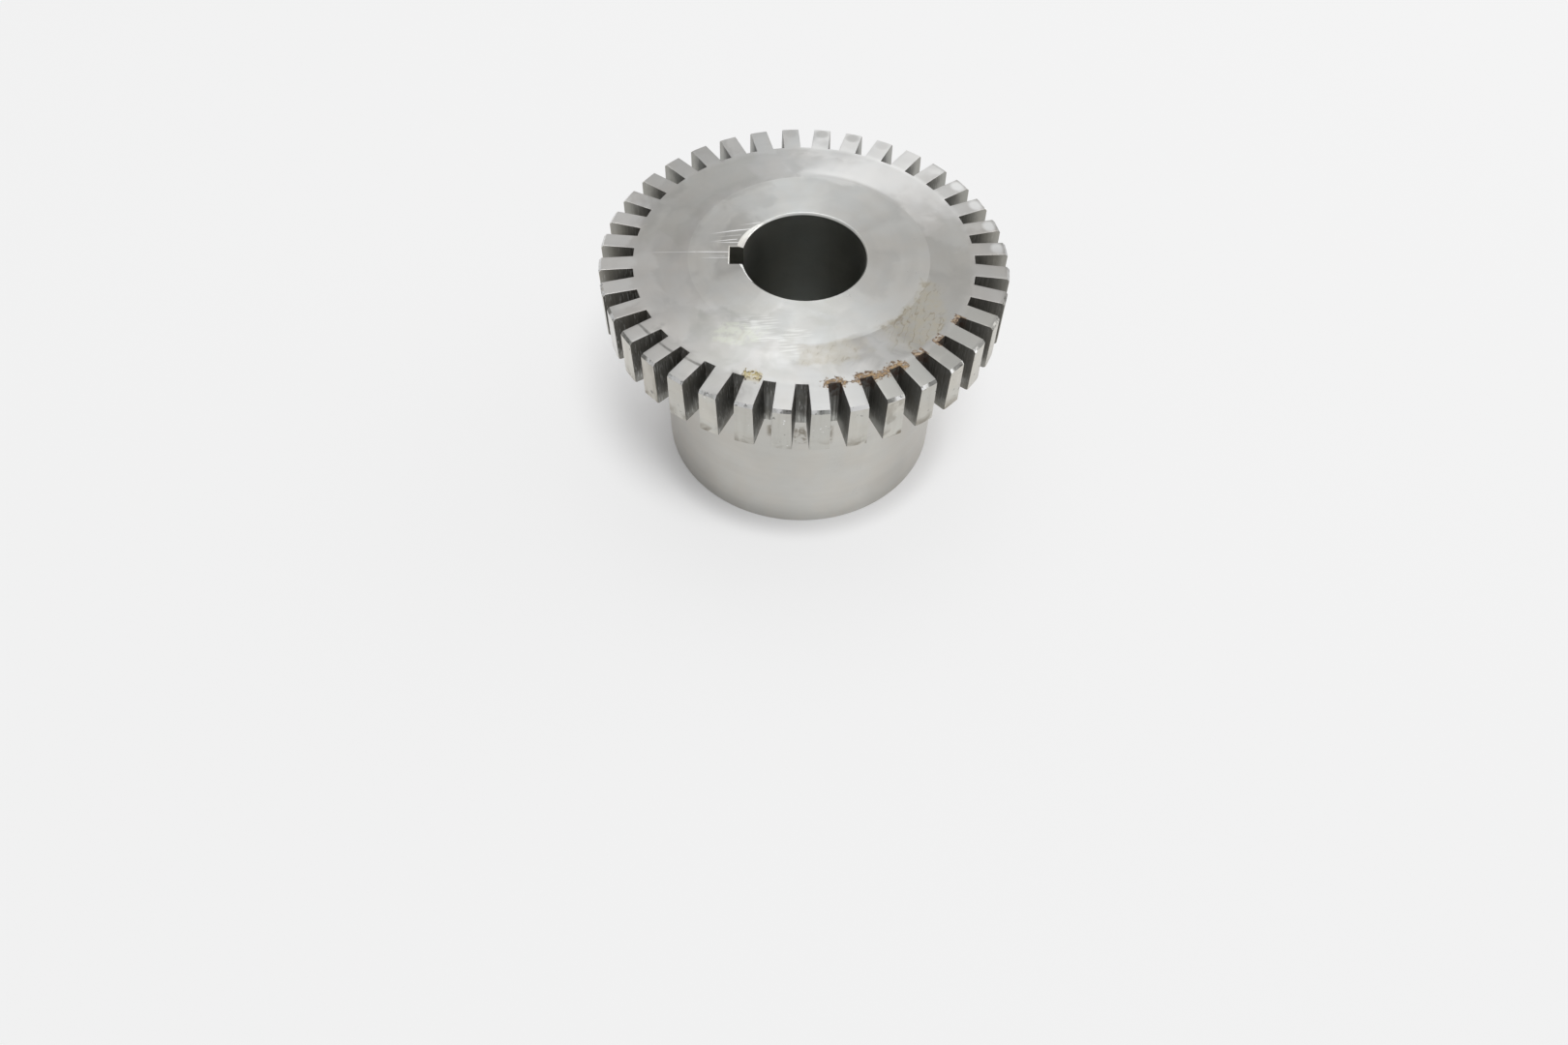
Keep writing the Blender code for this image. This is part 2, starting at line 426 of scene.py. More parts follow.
class Surface:
    """Colour, roughness, share of metal and relief of a finish while its layers are put on."""

    def __init__(self, spot: Spot, colour: Signal, roughness: Signal, relief: Signal) -> None:
        """Starts from bare metal.

        Args:
            spot: Where the shaded point lies.
            colour: The metal's colour.
            roughness: Its roughness.
            relief: Its height in millimetres.
        """
        self.spot = spot
        self.colour = colour
        self.roughness = roughness
        self.metallic = 1.0
        self.relief = relief

    def cover(self, mask: Signal, deposit: Deposit) -> None:
        """Lays a deposit over the surface.

        Args:
            mask: How much of it lies at a place, from 0 to 1.
            deposit: What it is.
        """
        self.colour = self.spot.sheet.mix(mask, self.colour, deposit.colour)
        self.roughness = self.roughness + mask * (deposit.roughness - self.roughness)
        self.metallic = self.metallic + mask * (deposit.metallic - self.metallic)
        self.relief = self.relief + mask * deposit.thickness


@dataclass(frozen=True)
class Steel:
    """Bare steel as one cut leaves it.

    Attributes:
        name: The material's name.
        colour: Its reflected colour.
        roughness: Its mean roughness.
        lay: Which way its tool marks run.
        lay_width: Millimetres between tool marks.
        lay_share: How much the marks change the roughness.
        lay_depth: Millimetres of relief in the marks.
        mottle: How much the colour changes from place to place.
        spread: How far the gloss is drawn out.
        spread_turn: The way in which it is drawn out, as a share of a turn from the run of the lathe.
    """

    name: str
    colour: Colour
    roughness: float
    lay: Lay
    lay_width: float = 0.4
    lay_share: float = 0.08
    lay_depth: float = 0.0015
    mottle: float = 0.10
    spread: float = 0.6
    spread_turn: float = 0.25

    def material(self) -> bpy.types.Material:
        """Makes the finish.

        Returns:
            The material.
        """
        sheet = NodeSheet(bpy.data.materials.new(self.name))
        surface = self.bare(Spot(sheet))
        self.weather(surface)
        self.close(sheet, surface)
        return sheet.owner

    def bare(self, spot: Spot) -> Surface:
        """Clean steel with tool marks and a slight change of tone from place to place.

        Args:
            spot: Where the shaded point lies.

        Returns:
            The surface, for layers to go on.
        """
        sheet = spot.sheet
        fine = spot.marks(self.lay, self.lay_width, 2.0, detail=2.0)
        broad = spot.marks(self.lay, 6 * self.lay_width, 1.0, detail=2.0)
        patch = spot.cloud(0.09, 3.0, warp=0.6)
        warmth = spot.cloud(0.14, 2.0).rise(0.35, 0.65)
        tint = warmth * 0.35 + spot.east * spot.east * 0.65
        tone = 1 + patch.sway(2 * self.mottle) + broad.sway(self.mottle)
        colour = sheet.mix(1.0, self.colour, sheet.vector(tone, tone, tone), way="MULTIPLY")
        colour = sheet.mix(1.0, colour, sheet.mix(tint, COOL_TINT, WARM_TINT), way="MULTIPLY")
        rough = self.roughness + fine.sway(self.lay_share) + patch.sway(0.12)
        return Surface(spot, colour, rough, fine * self.lay_depth)

    def weather(self, surface: Surface) -> None:
        """Puts on what use and storage left: a few faint dark smears."""
        smears = surface.spot.cloud(0.2, 4.0, warp=1.0).rise(0.6, 0.8)
        surface.cover(smears * 0.12, GRIME_AND_SHADE)

    def close(self, sheet: NodeSheet, surface: Surface) -> None:
        """Joins the finished surface to a shader.

        Args:
            sheet: The finish's node tree.
            surface: The surface with all its layers.
        """
        normal = sheet.node(
            "ShaderNodeBump", None, {"Strength": 1.0, "Distance": MM, "Height": surface.relief}
        )
        shader = sheet.node(
            "ShaderNodeBsdfPrincipled",
            None,
            {
                "Base Color": surface.colour,
                "Roughness": surface.roughness,
                "Metallic": surface.metallic,
                "Anisotropic": self.spread,
                "Anisotropic Rotation": self.spread_turn,
                "Normal": normal,
            },
        )
        sheet.node("ShaderNodeOutputMaterial", None, {"Surface": shader})


@dataclass(frozen=True)
class Scratch:
    """A bright scratch on the face, from one end to the other in millimetres."""

    x: float
    y: float
    end_x: float
    end_y: float
    strength: float

    @property
    def slope(self) -> float:
        """How far it climbs along Y for a millimetre along X."""
        return (self.end_y - self.y) / (self.end_x - self.x)

    def meets(self, inner: float, outer: float) -> bool:
        """Whether it reaches a ring of the face between two radii."""
        radii = (math.hypot(self.x, self.y), math.hypot(self.end_x, self.end_y))
        return min(radii) < outer and max(radii) > inner


SCRATCH_EDGES = (0.16, 0.06)
KEYWAY_SCRATCHES = (
    Scratch(-29.1, 0.95, -19.4, 1.0, 1.0),
    Scratch(-40.5, 0.7, -28.0, 0.95, 0.45),
    Scratch(-26.4, -1.2, -19.6, -1.1, 0.7),
    Scratch(-25.0, -0.4, -20.5, -0.4, 0.4),
    Scratch(-23.8, 4.8, -17.4, 5.8, 0.9),
    Scratch(-22.7, 4.5, -17.0, 4.6, 0.9),
    Scratch(-24.1, 7.8, -15.0, 9.5, 0.8),
    Scratch(-21.1, 8.6, -14.0, 9.7, 0.9),
    Scratch(-22.5, 6.6, -16.5, 7.4, 0.4),
    Scratch(-16.5, 11.2, -11.5, 12.3, 0.7),
)


@dataclass(frozen=True)
class SmudgeAndPaintedLight:
    """A stretch of the face that is darker or lighter, partly from handling and partly as painted shade
    and painted highlights: its angles, radii and strength.
    """

    start: float
    end: float
    inner: float
    outer: float
    strength: float
    soft: float = 9.0

    def meets(self, inner: float, outer: float) -> bool:
        """Whether it reaches a ring of the face between two radii."""
        return self.inner < outer and self.outer > inner


CRACK_WAY = (0.34, 0.94)
CRACK_WIDTH = 1.7
CRACK_LENGTH = 9.0
CRACK_EDGES = (0.03, 0.006)
STREAK_LENGTH = 7.0
STREAK_WIDTH = 0.5
STREAK_SLOPE = 0.1
SMUDGE_AND_LIGHT_FADE = 2.0
CRUST = (0.95, 4.0, 0.4)
GRAINS = (1.2, 3.0)
# Darker stretches: partly handling smudges, partly painted shade.
DARK_SMUDGES_AND_SHADE = (
    SmudgeAndPaintedLight(136, 166, 16.0, 30.0, 0.24),
    SmudgeAndPaintedLight(140, 196, 17.0, 22.0, 0.30),
    SmudgeAndPaintedLight(116, 130, 22.0, 30.0, 0.20),
    SmudgeAndPaintedLight(200, 236, 16.0, 30.0, 0.18),
    SmudgeAndPaintedLight(242, 256, 20.0, 27.0, 0.22, 5.0),
    SmudgeAndPaintedLight(34, 70, 16.0, 30.0, 0.17),
    SmudgeAndPaintedLight(322, 362, 16.0, 23.0, 0.17),
    SmudgeAndPaintedLight(268, 298, 23.0, 31.0, 0.14),
    SmudgeAndPaintedLight(116, 178, 29.8, 33.0, 0.16),
    SmudgeAndPaintedLight(155, 176, 32.0, 38.0, 0.12),
    SmudgeAndPaintedLight(96, 150, 32.0, 42.0, 0.25),
    SmudgeAndPaintedLight(246, 254, 38.5, 43.0, 0.14, 4.0),
    SmudgeAndPaintedLight(264, 276, 38.0, 43.0, 0.13, 5.0),
    SmudgeAndPaintedLight(284, 294, 31.0, 41.0, 0.28, 5.0),
    SmudgeAndPaintedLight(294, 312, 32.0, 42.0, 0.30),
    SmudgeAndPaintedLight(312, 348, 32.0, 42.0, 0.33),
    SmudgeAndPaintedLight(212, 224, 32.0, 42.0, 0.15, 5.0),
    SmudgeAndPaintedLight(224, 240, 28.0, 43.0, 0.30, 5.0),
    SmudgeAndPaintedLight(99, 108, 44.5, 53.0, 0.08, 4.0),
    SmudgeAndPaintedLight(206, 218, 44.5, 53.0, 0.12, 4.0),
    SmudgeAndPaintedLight(220, 248, 44.5, 53.0, 0.42, 5.0),
    SmudgeAndPaintedLight(238, 258, 46.0, 53.0, 0.14, 3.0),
    SmudgeAndPaintedLight(249, 258, 44.5, 53.0, 0.30, 3.0),
    SmudgeAndPaintedLight(260, 298, 44.5, 53.0, 0.16, 4.0),
    SmudgeAndPaintedLight(316, 358, 44.5, 53.0, 0.20, 4.0),
    SmudgeAndPaintedLight(118, 154, 44.5, 53.0, 0.14, 6.0),
    SmudgeAndPaintedLight(116, 128, 44.5, 53.0, 0.18, 4.0),
    SmudgeAndPaintedLight(140, 166, 42.0, 45.5, 0.20, 4.0),
)
# Lighter stretches: partly places worn bright, partly painted highlights.
BRIGHT_SMUDGES_AND_HIGHLIGHTS = (
    SmudgeAndPaintedLight(158, 197, 45.5, 53.0, 0.30),
    SmudgeAndPaintedLight(16, 48, 44.5, 53.0, 0.20, 4.0),
    SmudgeAndPaintedLight(8, 24, 35.0, 42.0, 0.12, 6.0),
    SmudgeAndPaintedLight(26, 40, 33.0, 39.0, 0.20, 5.0),
    SmudgeAndPaintedLight(68, 90, 31.5, 33.5, 0.18, 6.0),
    SmudgeAndPaintedLight(66, 86, 41.0, 43.5, 0.25, 5.0),
    SmudgeAndPaintedLight(184, 200, 39.0, 43.5, 0.14),
    SmudgeAndPaintedLight(236, 246, 16.0, 23.0, 0.15, 5.0),
    SmudgeAndPaintedLight(236, 247, 29.0, 32.5, 0.10, 4.0),
    SmudgeAndPaintedLight(236, 262, 35.5, 38.0, 0.14, 5.0),
    SmudgeAndPaintedLight(256, 272, 29.5, 36.0, 0.14, 5.0),
    SmudgeAndPaintedLight(216, 228, 29.0, 32.0, 0.10, 5.0),
)


@dataclass(frozen=True)
class Dab:
    """A place where a rag dragged across the face: its middle, and half its size each way."""

    x: float
    y: float
    half_length: float
    half_width: float

    def share(self, spot: Spot) -> Signal:
        """How much of a place the dab covers.

        Args:
            spot: The place.

        Returns:
            1 in the middle of the dab, fading to 0 at its edge.
        """
        along = (spot.x - self.x) / self.half_length
        across = (spot.y - self.y) / self.half_width
        return along.squares(across).rise(1.2, 0.3)


RAG_DABS = (
    Dab(-11.6, -24.2, 6.0, 3.2),
    Dab(-8.8, -29.4, 5.0, 2.8),
    Dab(-1.8, -27.6, 4.0, 2.0),
    Dab(-3.3, -32.6, 3.5, 2.6),
)


@dataclass(frozen=True)
class FaceSteel(Steel):
    """Steel of the hub's face, with darker and lighter stretches that are partly handling smudges and
    partly painted shade and highlights, wiped with a rag and scratched by the keyway.

    Attributes:
        inner: Inner radius of its part of the face.
        outer: Outer radius of its part of the face.
    """

    inner: float = 15.0
    outer: float = 53.0

    def weather(self, surface: Surface) -> None:
        """Puts on the marks of the face, from the oldest to the newest.

        Args:
            surface: The clean surface.
        """
        self.fan(surface)
        self.smudge_shade_and_highlight(surface)
        self.wipe(surface)
        self.scratch(surface)
        self.oil(surface)

    def fan(self, surface: Surface) -> None:
        """Faint rays out from the bore, where the lay's gloss changes round the face.

        Args:
            surface: The surface so far.
        """
        spot = surface.spot
        place = spot.sheet.vector(spot.east * 12, spot.north * 12, spot.radius / 60)
        rays = spot.sheet.noise(place, detail=1.0)
        surface.roughness = surface.roughness + rays.sway(0.06)

    def smudge_shade_and_highlight(self, surface: Surface) -> None:
        """The darker and the lighter stretches: partly what handling left, partly painted shade and
        painted highlights.

        Args:
            surface: The surface so far.
        """
        spot = surface.spot
        cloud = spot.cloud(0.16, 3.0, warp=0.5)
        drift = cloud.sway(24)
        radius = spot.radius + cloud.sway(8)
        # Painted shade and painted highlights, mixed with handling smudges.
        for smears, deposit in ((DARK_SMUDGES_AND_SHADE, SMUDGE_AND_SHADE), (BRIGHT_SMUDGES_AND_HIGHLIGHTS, RUB_AND_HIGHLIGHT)):
            share = 0.0
            for smudge_shade_and_highlight in smears:
                if smudge_shade_and_highlight.meets(self.inner, self.outer):
                    reach = radius.band(smudge_shade_and_highlight.inner, smudge_shade_and_highlight.outer, SMUDGE_AND_LIGHT_FADE) * smudge_shade_and_highlight.strength
                    share = share + spot.stretch(smudge_shade_and_highlight.start, smudge_shade_and_highlight.end, smudge_shade_and_highlight.soft, drift) * reach
            surface.cover(share * (0.4 + cloud * 1.2), deposit)

    def wipe(self, surface: Surface) -> None:
        """A film of oil at the front left, with pale streaks where a rag went across it.

        Args:
            surface: The surface so far.
        """
        spot = surface.spot
        cloud = spot.cloud(0.11, 3.0, warp=0.8)
        front = spot.y.band(-40, -17, 5) * spot.x.band(-26, 6, 6)
        surface.cover(front * cloud.rise(0.42, 0.62) * 0.3, FILM_AND_SHADE)
        slant = spot.y - spot.x * STREAK_SLOPE
        drag = spot.sheet.vector(spot.x / STREAK_LENGTH, slant / STREAK_WIDTH, 0.0)
        streaks = spot.sheet.noise(drag, detail=1.0).rise(0.46, 0.62)
        rag = sum((dab.share(spot) for dab in RAG_DABS[1:]), RAG_DABS[0].share(spot))
        surface.cover(rag * streaks * 0.3, WIPE)

    def scratch(self, surface: Surface) -> None:
        """The straight bright scratches on both sides of the keyway.

        Args:
            surface: The surface so far.
        """
        spot = surface.spot
        share = 0.0
        for line in KEYWAY_SCRATCHES:
            if line.meets(self.inner, self.outer):
                off = spot.y - line.y - (spot.x - line.x) * line.slope
                run = spot.x.rise(line.x - 1.0, line.x + 4.0) * spot.x.rise(line.end_x + 0.5, line.end_x)
                share = share + abs(off).rise(*SCRATCH_EDGES) * run * line.strength
        surface.cover(share, BRIGHT_CUT_AND_GLINT)

    def oil(self, surface: Surface) -> None:
        """Dried oil: a crackled patch at the front right, and fainter ones at the front and left.

        Args:
            surface: The surface so far.
        """
        spot = surface.spot
        warp = spot.cloud(0.22, 3.0) - NOISE_MIDDLE
        angle = spot.angle + warp * 16
        radius = spot.radius + warp * 4
        slant = (32.0 + (345 - angle) * 0.5 - radius).rise(-2.5, 2.5)
        main = angle.rise(300, 314) * radius.band(31.6, 41.0, 1.6) * slant
        front = angle.band(270, 290, 6) * radius.band(31.5, 37.0, 1.5)
        ripple = spot.cloud(0.5, 2.0) - NOISE_MIDDLE
        along = spot.x * CRACK_WAY[0] + spot.y * CRACK_WAY[1] + ripple * 3
        across = spot.x * CRACK_WAY[1] - spot.y * CRACK_WAY[0] + ripple * 1.5
        place = spot.sheet.vector(across / CRACK_WIDTH, along / CRACK_LENGTH, 0.0)
        grain = spot.sheet.noise(place, detail=1.0)
        veins = abs(grain - NOISE_MIDDLE).rise(*CRACK_EDGES)
        crumbs = spot.cloud(0.55, 4.0)
        hem = radius.band(30.9, 32.2, 0.8)
        surface.cover(main * (0.22 + crumbs.rise(0.34, 0.66) * 0.42) + front * crumbs * 0.65, DRIED_OIL)
        surface.cover(main * veins * crumbs.rise(0.34, 0.54) * 0.45, OIL_EDGE)
        surface.cover(front * veins * crumbs.rise(0.42, 0.62) * 0.2, OIL_EDGE)
        surface.cover(main * hem * crumbs.rise(0.44, 0.66) * 0.3, OIL_EDGE)
        right = (spot.x - SPILL[0]) / SPILL_REACH[0]
        back = (spot.y - SPILL[1]) / SPILL_REACH[1]
        spill = (right.squares(back) + warp * 3).rise(1.3, 0.5)
        surface.cover(spill * crumbs.rise(0.3, 0.6) * 0.4, OIL_SHEEN)
        surface.cover(spill * veins * crumbs * 0.3, DRIED_OIL)


@dataclass(frozen=True)
class RingSteel(FaceSteel):
    """Steel of the slotted ring, with painted highlights at the back and painted shade elsewhere, the
    painted shadow of a fibre, dried oil, and rust beside the slots.

    Attributes:
        darker_tops: Teeth whose tops are darker.
        highlit_ends: Teeth with a painted highlight on their outer ends.
        shaded_ends: Teeth with painted shade on their outer ends.
        shaded_edges: Teeth with painted shade along their outer edges.
        fibre_shadowed: Teeth that the painted shadow of a fibre runs across.
        fibre_shadow_place: An angle and a radius that the painted shadow goes through.
        fibre_shadow_slope: How far it runs inwards in a degree.
        rust_fringe: Where the rust runs on from slot to slot.
        fringe_radius: Radius of that rust.
        old_rust: Where the rust is older and darker.
        stained: Where the yellow stain lies.
        stain_radius: Radius of the stain.
    """

    darker_tops: Stretch = Stretch(290, 335, 5, 0.5)
    highlit_ends: Stretch = Stretch(6, 38, 8, 0.65)
    shaded_ends: tuple[Stretch, ...] = (Stretch(61, 98, 3, 0.25), Stretch(71, 88, 3, 0.25))
    shaded_edges: tuple[Stretch, ...] = (Stretch(-4, 46, 5, 0.35), Stretch(319, 346, 4, 0.35))
    fibre_shadowed: Stretch = Stretch(211, 237)
    fibre_shadow_place: tuple[float, float] = (233, 45.5)
    fibre_shadow_slope: float = 0.075
    rust_fringe: Stretch = Stretch(286, 303, 2)
    fringe_radius: float = 44.0
    old_rust: Stretch = Stretch(306, 334, 3)
    stained: Stretch = Stretch(250, 255.5, 1.5)
    stain_radius: float = 42.9

    def weather(self, surface: Surface) -> None:
        """Puts on painted highlights and painted shade, then the marks of the ring, from the oldest to the
        newest.

        Args:
            surface: The clean surface.
        """
        self.paint_light_and_shade(surface)
        super().weather(surface)
        self.rust(surface)
        self.stain(surface)

    def paint_light_and_shade(self, surface: Surface) -> None:
        """Painted highlights at the back right, on the ring and on the teeth, painted shade elsewhere, and
        the painted shadow of a fibre.

        Args:
            surface: The surface so far.
        """
        spot = surface.spot
        cloud = spot.cloud(0.1, 2.0, warp=0.5)
        angle = spot.angle + cloud.sway(44)
        middle = 47 + (42 - spot.radius) * 2.2
        # Painted highlight: a bright sweep across the ring, and over the teeth's tops, at the back right.
        sweep = abs(angle - middle).rise(36, 4) * spot.radius.band(33.0, 43.0, 1.5)
        tips = angle.rise(30, 54) * angle.rise(94, 82) * spot.radius.rise(42.0, 44.0)
        surface.cover(sweep * 0.62 + tips * 0.55, RUB_AND_HIGHLIGHT)
        # Painted shade on the ring at the left and at the right.
        left = angle.band(112, 168, 6) * 0.3
        right = ((angle + 60) % FULL_TURN).band(20, 78, 5) * 0.3
        surface.cover((left + right) * spot.radius.band(33.0, 41.5, 2.5), FILM_AND_SHADE)
        # Darker tops on the teeth at the front right.
        surface.cover(spot.marked(self.darker_tops) * spot.radius.rise(42.5, 44.5), FILM_AND_SHADE)
        # Painted highlight on some teeth's outer ends, and painted shade on others and along some outer
        # edges.
        end = spot.tooth_end()
        surface.cover(end * spot.marked(self.highlit_ends), PAINTED_HIGHLIGHT)
        surface.cover(end * spot.marked(*self.shaded_ends), SMUDGE_AND_SHADE)
        surface.cover(spot.radius.rise(50.6, 51.3) * spot.marked(*self.shaded_edges), SMUDGE_AND_SHADE)
        # Painted shadow of a fibre that lay across a few teeth at the front left, darker in blotches.
        blotch = spot.cloud(0.7, 2.0).rise(0.25, 0.6)
        fibre_shadow_angle, fibre_shadow_radius = self.fibre_shadow_place
        inwards = (spot.angle - fibre_shadow_angle) * self.fibre_shadow_slope
        arc = spot.radius + inwards - fibre_shadow_radius + cloud.sway(2)
        fibre_shadow = abs(arc).rise(0.55, 0.15) * spot.marked(self.fibre_shadowed)
        surface.cover(fibre_shadow * (0.4 + blotch * 0.35), GRIME_AND_SHADE)

    def rust(self, surface: Surface) -> None:
        """Rust at the inner ends of the slots at the front.

        Args:
            surface: The surface so far.
        """
        spot = surface.spot
        crust = spot.cloud(*CRUST)
        grains = spot.cloud(*GRAINS)
        across = (spot.from_slot() - SLOT_CORNER).rise(0.0, 1.6) * 1.6
        out = spot.radius - SLOT_ROOT - 0.2
        away = across.hypot(out) + crust.sway(3.5)
        away = away + (1 - spot.marked(*RUSTED_SLOTS)) * 9
        fringe = abs(spot.radius + crust.sway(4.5) - self.fringe_radius)
        fringe = fringe + (1 - spot.marked(self.rust_fringe)) * 9
        away = spot.sheet.maths("MINIMUM", away, fringe + 0.3)
        old = spot.marked(self.old_rust)
        surface.cover(away.rise(1.8, 0.9) * grains.rise(0.30, 0.56) * (0.8 - old * 0.2), OCHRE_RUST)
        surface.cover(away.band(1.0, 1.35, 0.25) * grains.rise(0.44, 0.56) * 0.75, RUST)
        surface.cover(away.rise(1.0, 0.2) * grains.rise(0.60, 0.46) * (0.6 + old * 0.3), RUST)

    def stain(self, surface: Surface) -> None:
        """A yellow stain with a brown edge, at the front left.

        Args:
            surface: The surface so far.
        """
        spot = surface.spot
        crust = spot.cloud(*CRUST)
        grains = spot.cloud(*GRAINS)
        edge = abs(spot.radius + crust.sway(4.5) - self.stain_radius)
        edge = edge + (1 - spot.marked(self.stained)) * 4
        surface.cover(edge.rise(2.2, 0.4) * crust.rise(0.34, 0.60) * 0.72, YELLOW_STAIN)
        surface.cover(edge.band(0.7, 1.0, 0.25) * grains.rise(0.42, 0.54) * 0.65, RUST)


@dataclass(frozen=True)
class LipSteel(Steel):
    """Steel of the bore's dressed edge, with painted shade in two stretches and a pale painted highlight
    below the keyway.

    Attributes:
        shaded: Where it has painted shade.
        pale_highlit: Where the pale painted highlight lies.
    """

    shaded: tuple[Stretch, ...] = (Stretch(130, 174, 6, 0.25), Stretch(38, 128, 8, 0.25))
    pale_highlit: Stretch = Stretch(190, 214, 3, 0.9)

    def weather(self, surface: Surface) -> None:
        """Puts on painted shade in two stretches, and the pale painted highlight."""
        # Painted shade in two stretches, then a pale painted highlight below the keyway.
        surface.cover(surface.spot.marked(*self.shaded), SMUDGE_AND_SHADE)
        surface.cover(surface.spot.marked(self.pale_highlit), PALE_PAINTED_HIGHLIGHT)


@dataclass(frozen=True)
class RimSteel(Steel):
    """Steel of the teeth's outer faces, stained at the bottom, here and there nicked, and with painted
    highlight and painted shade on some teeth.

    Attributes:
        low: Heights at which the oil at the bottom starts and is full.
        soiled: Teeth with more oil there.
        streaked: Teeth that oil ran down.
        rubbed_and_highlit: Teeth with a painted highlight.
        shaded: Teeth with painted shade.
        smudged: Teeth with smudges of oil.
        dark: Teeth with darker painted shade.
    """

    low: tuple[float, float] = (54.5, 50.5)
    soiled: tuple[Stretch, ...] = (Stretch(216, 248, 6, 0.3), Stretch(286, 312, 6, 0.3))
    streaked: Stretch = Stretch(219, 228, 2)
    rubbed_and_highlit: Stretch = Stretch(196, 209, 4, 0.5)
    shaded: tuple[Stretch, ...] = (
        Stretch(230, 238, 3, 0.14),
        Stretch(248, 279, 4, 0.14),
        Stretch(301, 307, 3, 0.14),
        Stretch(330, 338, 3, 0.14),
    )
    smudged: Stretch = Stretch(289, 299, 3, 0.35)
    dark: Stretch = Stretch(341, 376, 7, 0.48)

    def weather(self, surface: Surface) -> None:
        """Puts on stains, more of them at the left, a few dark specks, a few bright nicks, and painted
        highlight and shade on some teeth.

        Args:
            surface: The clean surface.
        """
        super().weather(surface)
        spot = surface.spot
        cloud = spot.cloud(0.22, 4.0, warp=0.6)
        specks = spot.cloud(0.7, 3.0)
        streaks = spot.marks(Lay.SLOTTED, 1.3, 4.0, detail=3.0).rise(0.42, 0.70)
        low = (spot.z + cloud.sway(10)).rise(*self.low)
        surface.cover(low * cloud.rise(0.42, 0.62) * (0.4 + spot.marked(*self.soiled)), OIL_EDGE)
        streaked = spot.marked(self.streaked)
        surface.cover(streaks * (0.07 + streaked * 0.35) + streaked * 0.12, OIL_EDGE)
        # Painted highlight on some teeth, painted shade on others.
        surface.cover(spot.marked(self.rubbed_and_highlit), RUB_AND_HIGHLIGHT)
        surface.cover(spot.marked(*self.shaded), SMUDGE_AND_SHADE)
        surface.cover(spot.marked(self.smudged) * cloud.rise(0.48, 0.62), OIL_EDGE)
        # Painted shade on the teeth at the right.
        surface.cover(spot.marked(self.dark), GRIME_AND_SHADE)
        surface.cover(specks.rise(0.66, 0.73) * 0.5, GRIME_AND_SHADE)
        surface.cover(specks.rise(0.30, 0.25) * 0.7, BRIGHT_CUT_AND_GLINT)


@dataclass(frozen=True)
class ChamferSteel(Steel):
    """Steel of the teeth's chamfers, with painted shade in dark stretches, a painted highlight, and bright
    spots that are partly dent marks from handling and partly painted glints.

    Attributes:
        rubbed_and_highlit: Where they have a painted highlight.
        dark: Where they have painted shade all over.
    """

    rubbed_and_highlit: Stretch = Stretch(239, 267, 4, 0.4)
    dark: Stretch = Stretch(344, 376, 5, 0.6)

    def weather(self, surface: Surface) -> None:
        """Puts on the painted shade, the painted highlight, the dent marks and glints, and dark specks.

        Args:
            surface: The clean surface.
        """
        spot = surface.spot
        dents_and_glints = spot.cloud(0.5, 2.0)
        specks = spot.cloud(0.9, 3.0)
        # Painted shade on the chamfers in DARK_CHAMFERS; elsewhere a painted highlight, and bright spots
        # that are partly dent marks and partly painted glints.
        dark = spot.marked(*DARK_CHAMFERS)
        surface.cover(spot.marked(self.rubbed_and_highlit), RUB_AND_HIGHLIGHT)
        surface.cover((1 - dark) * dents_and_glints.rise(0.36, 0.50) * 0.9, BRIGHT_CUT_AND_GLINT)
        surface.cover(dark * (0.42 + dents_and_glints.rise(0.62, 0.46) * 0.3), GRIME_AND_SHADE)
        surface.cover(specks.rise(0.58, 0.64) * 0.6, GRIME_AND_SHADE)
        # Painted shade all over the chamfers at the right.
        surface.cover(spot.marked(self.dark), GRIME_AND_SHADE)


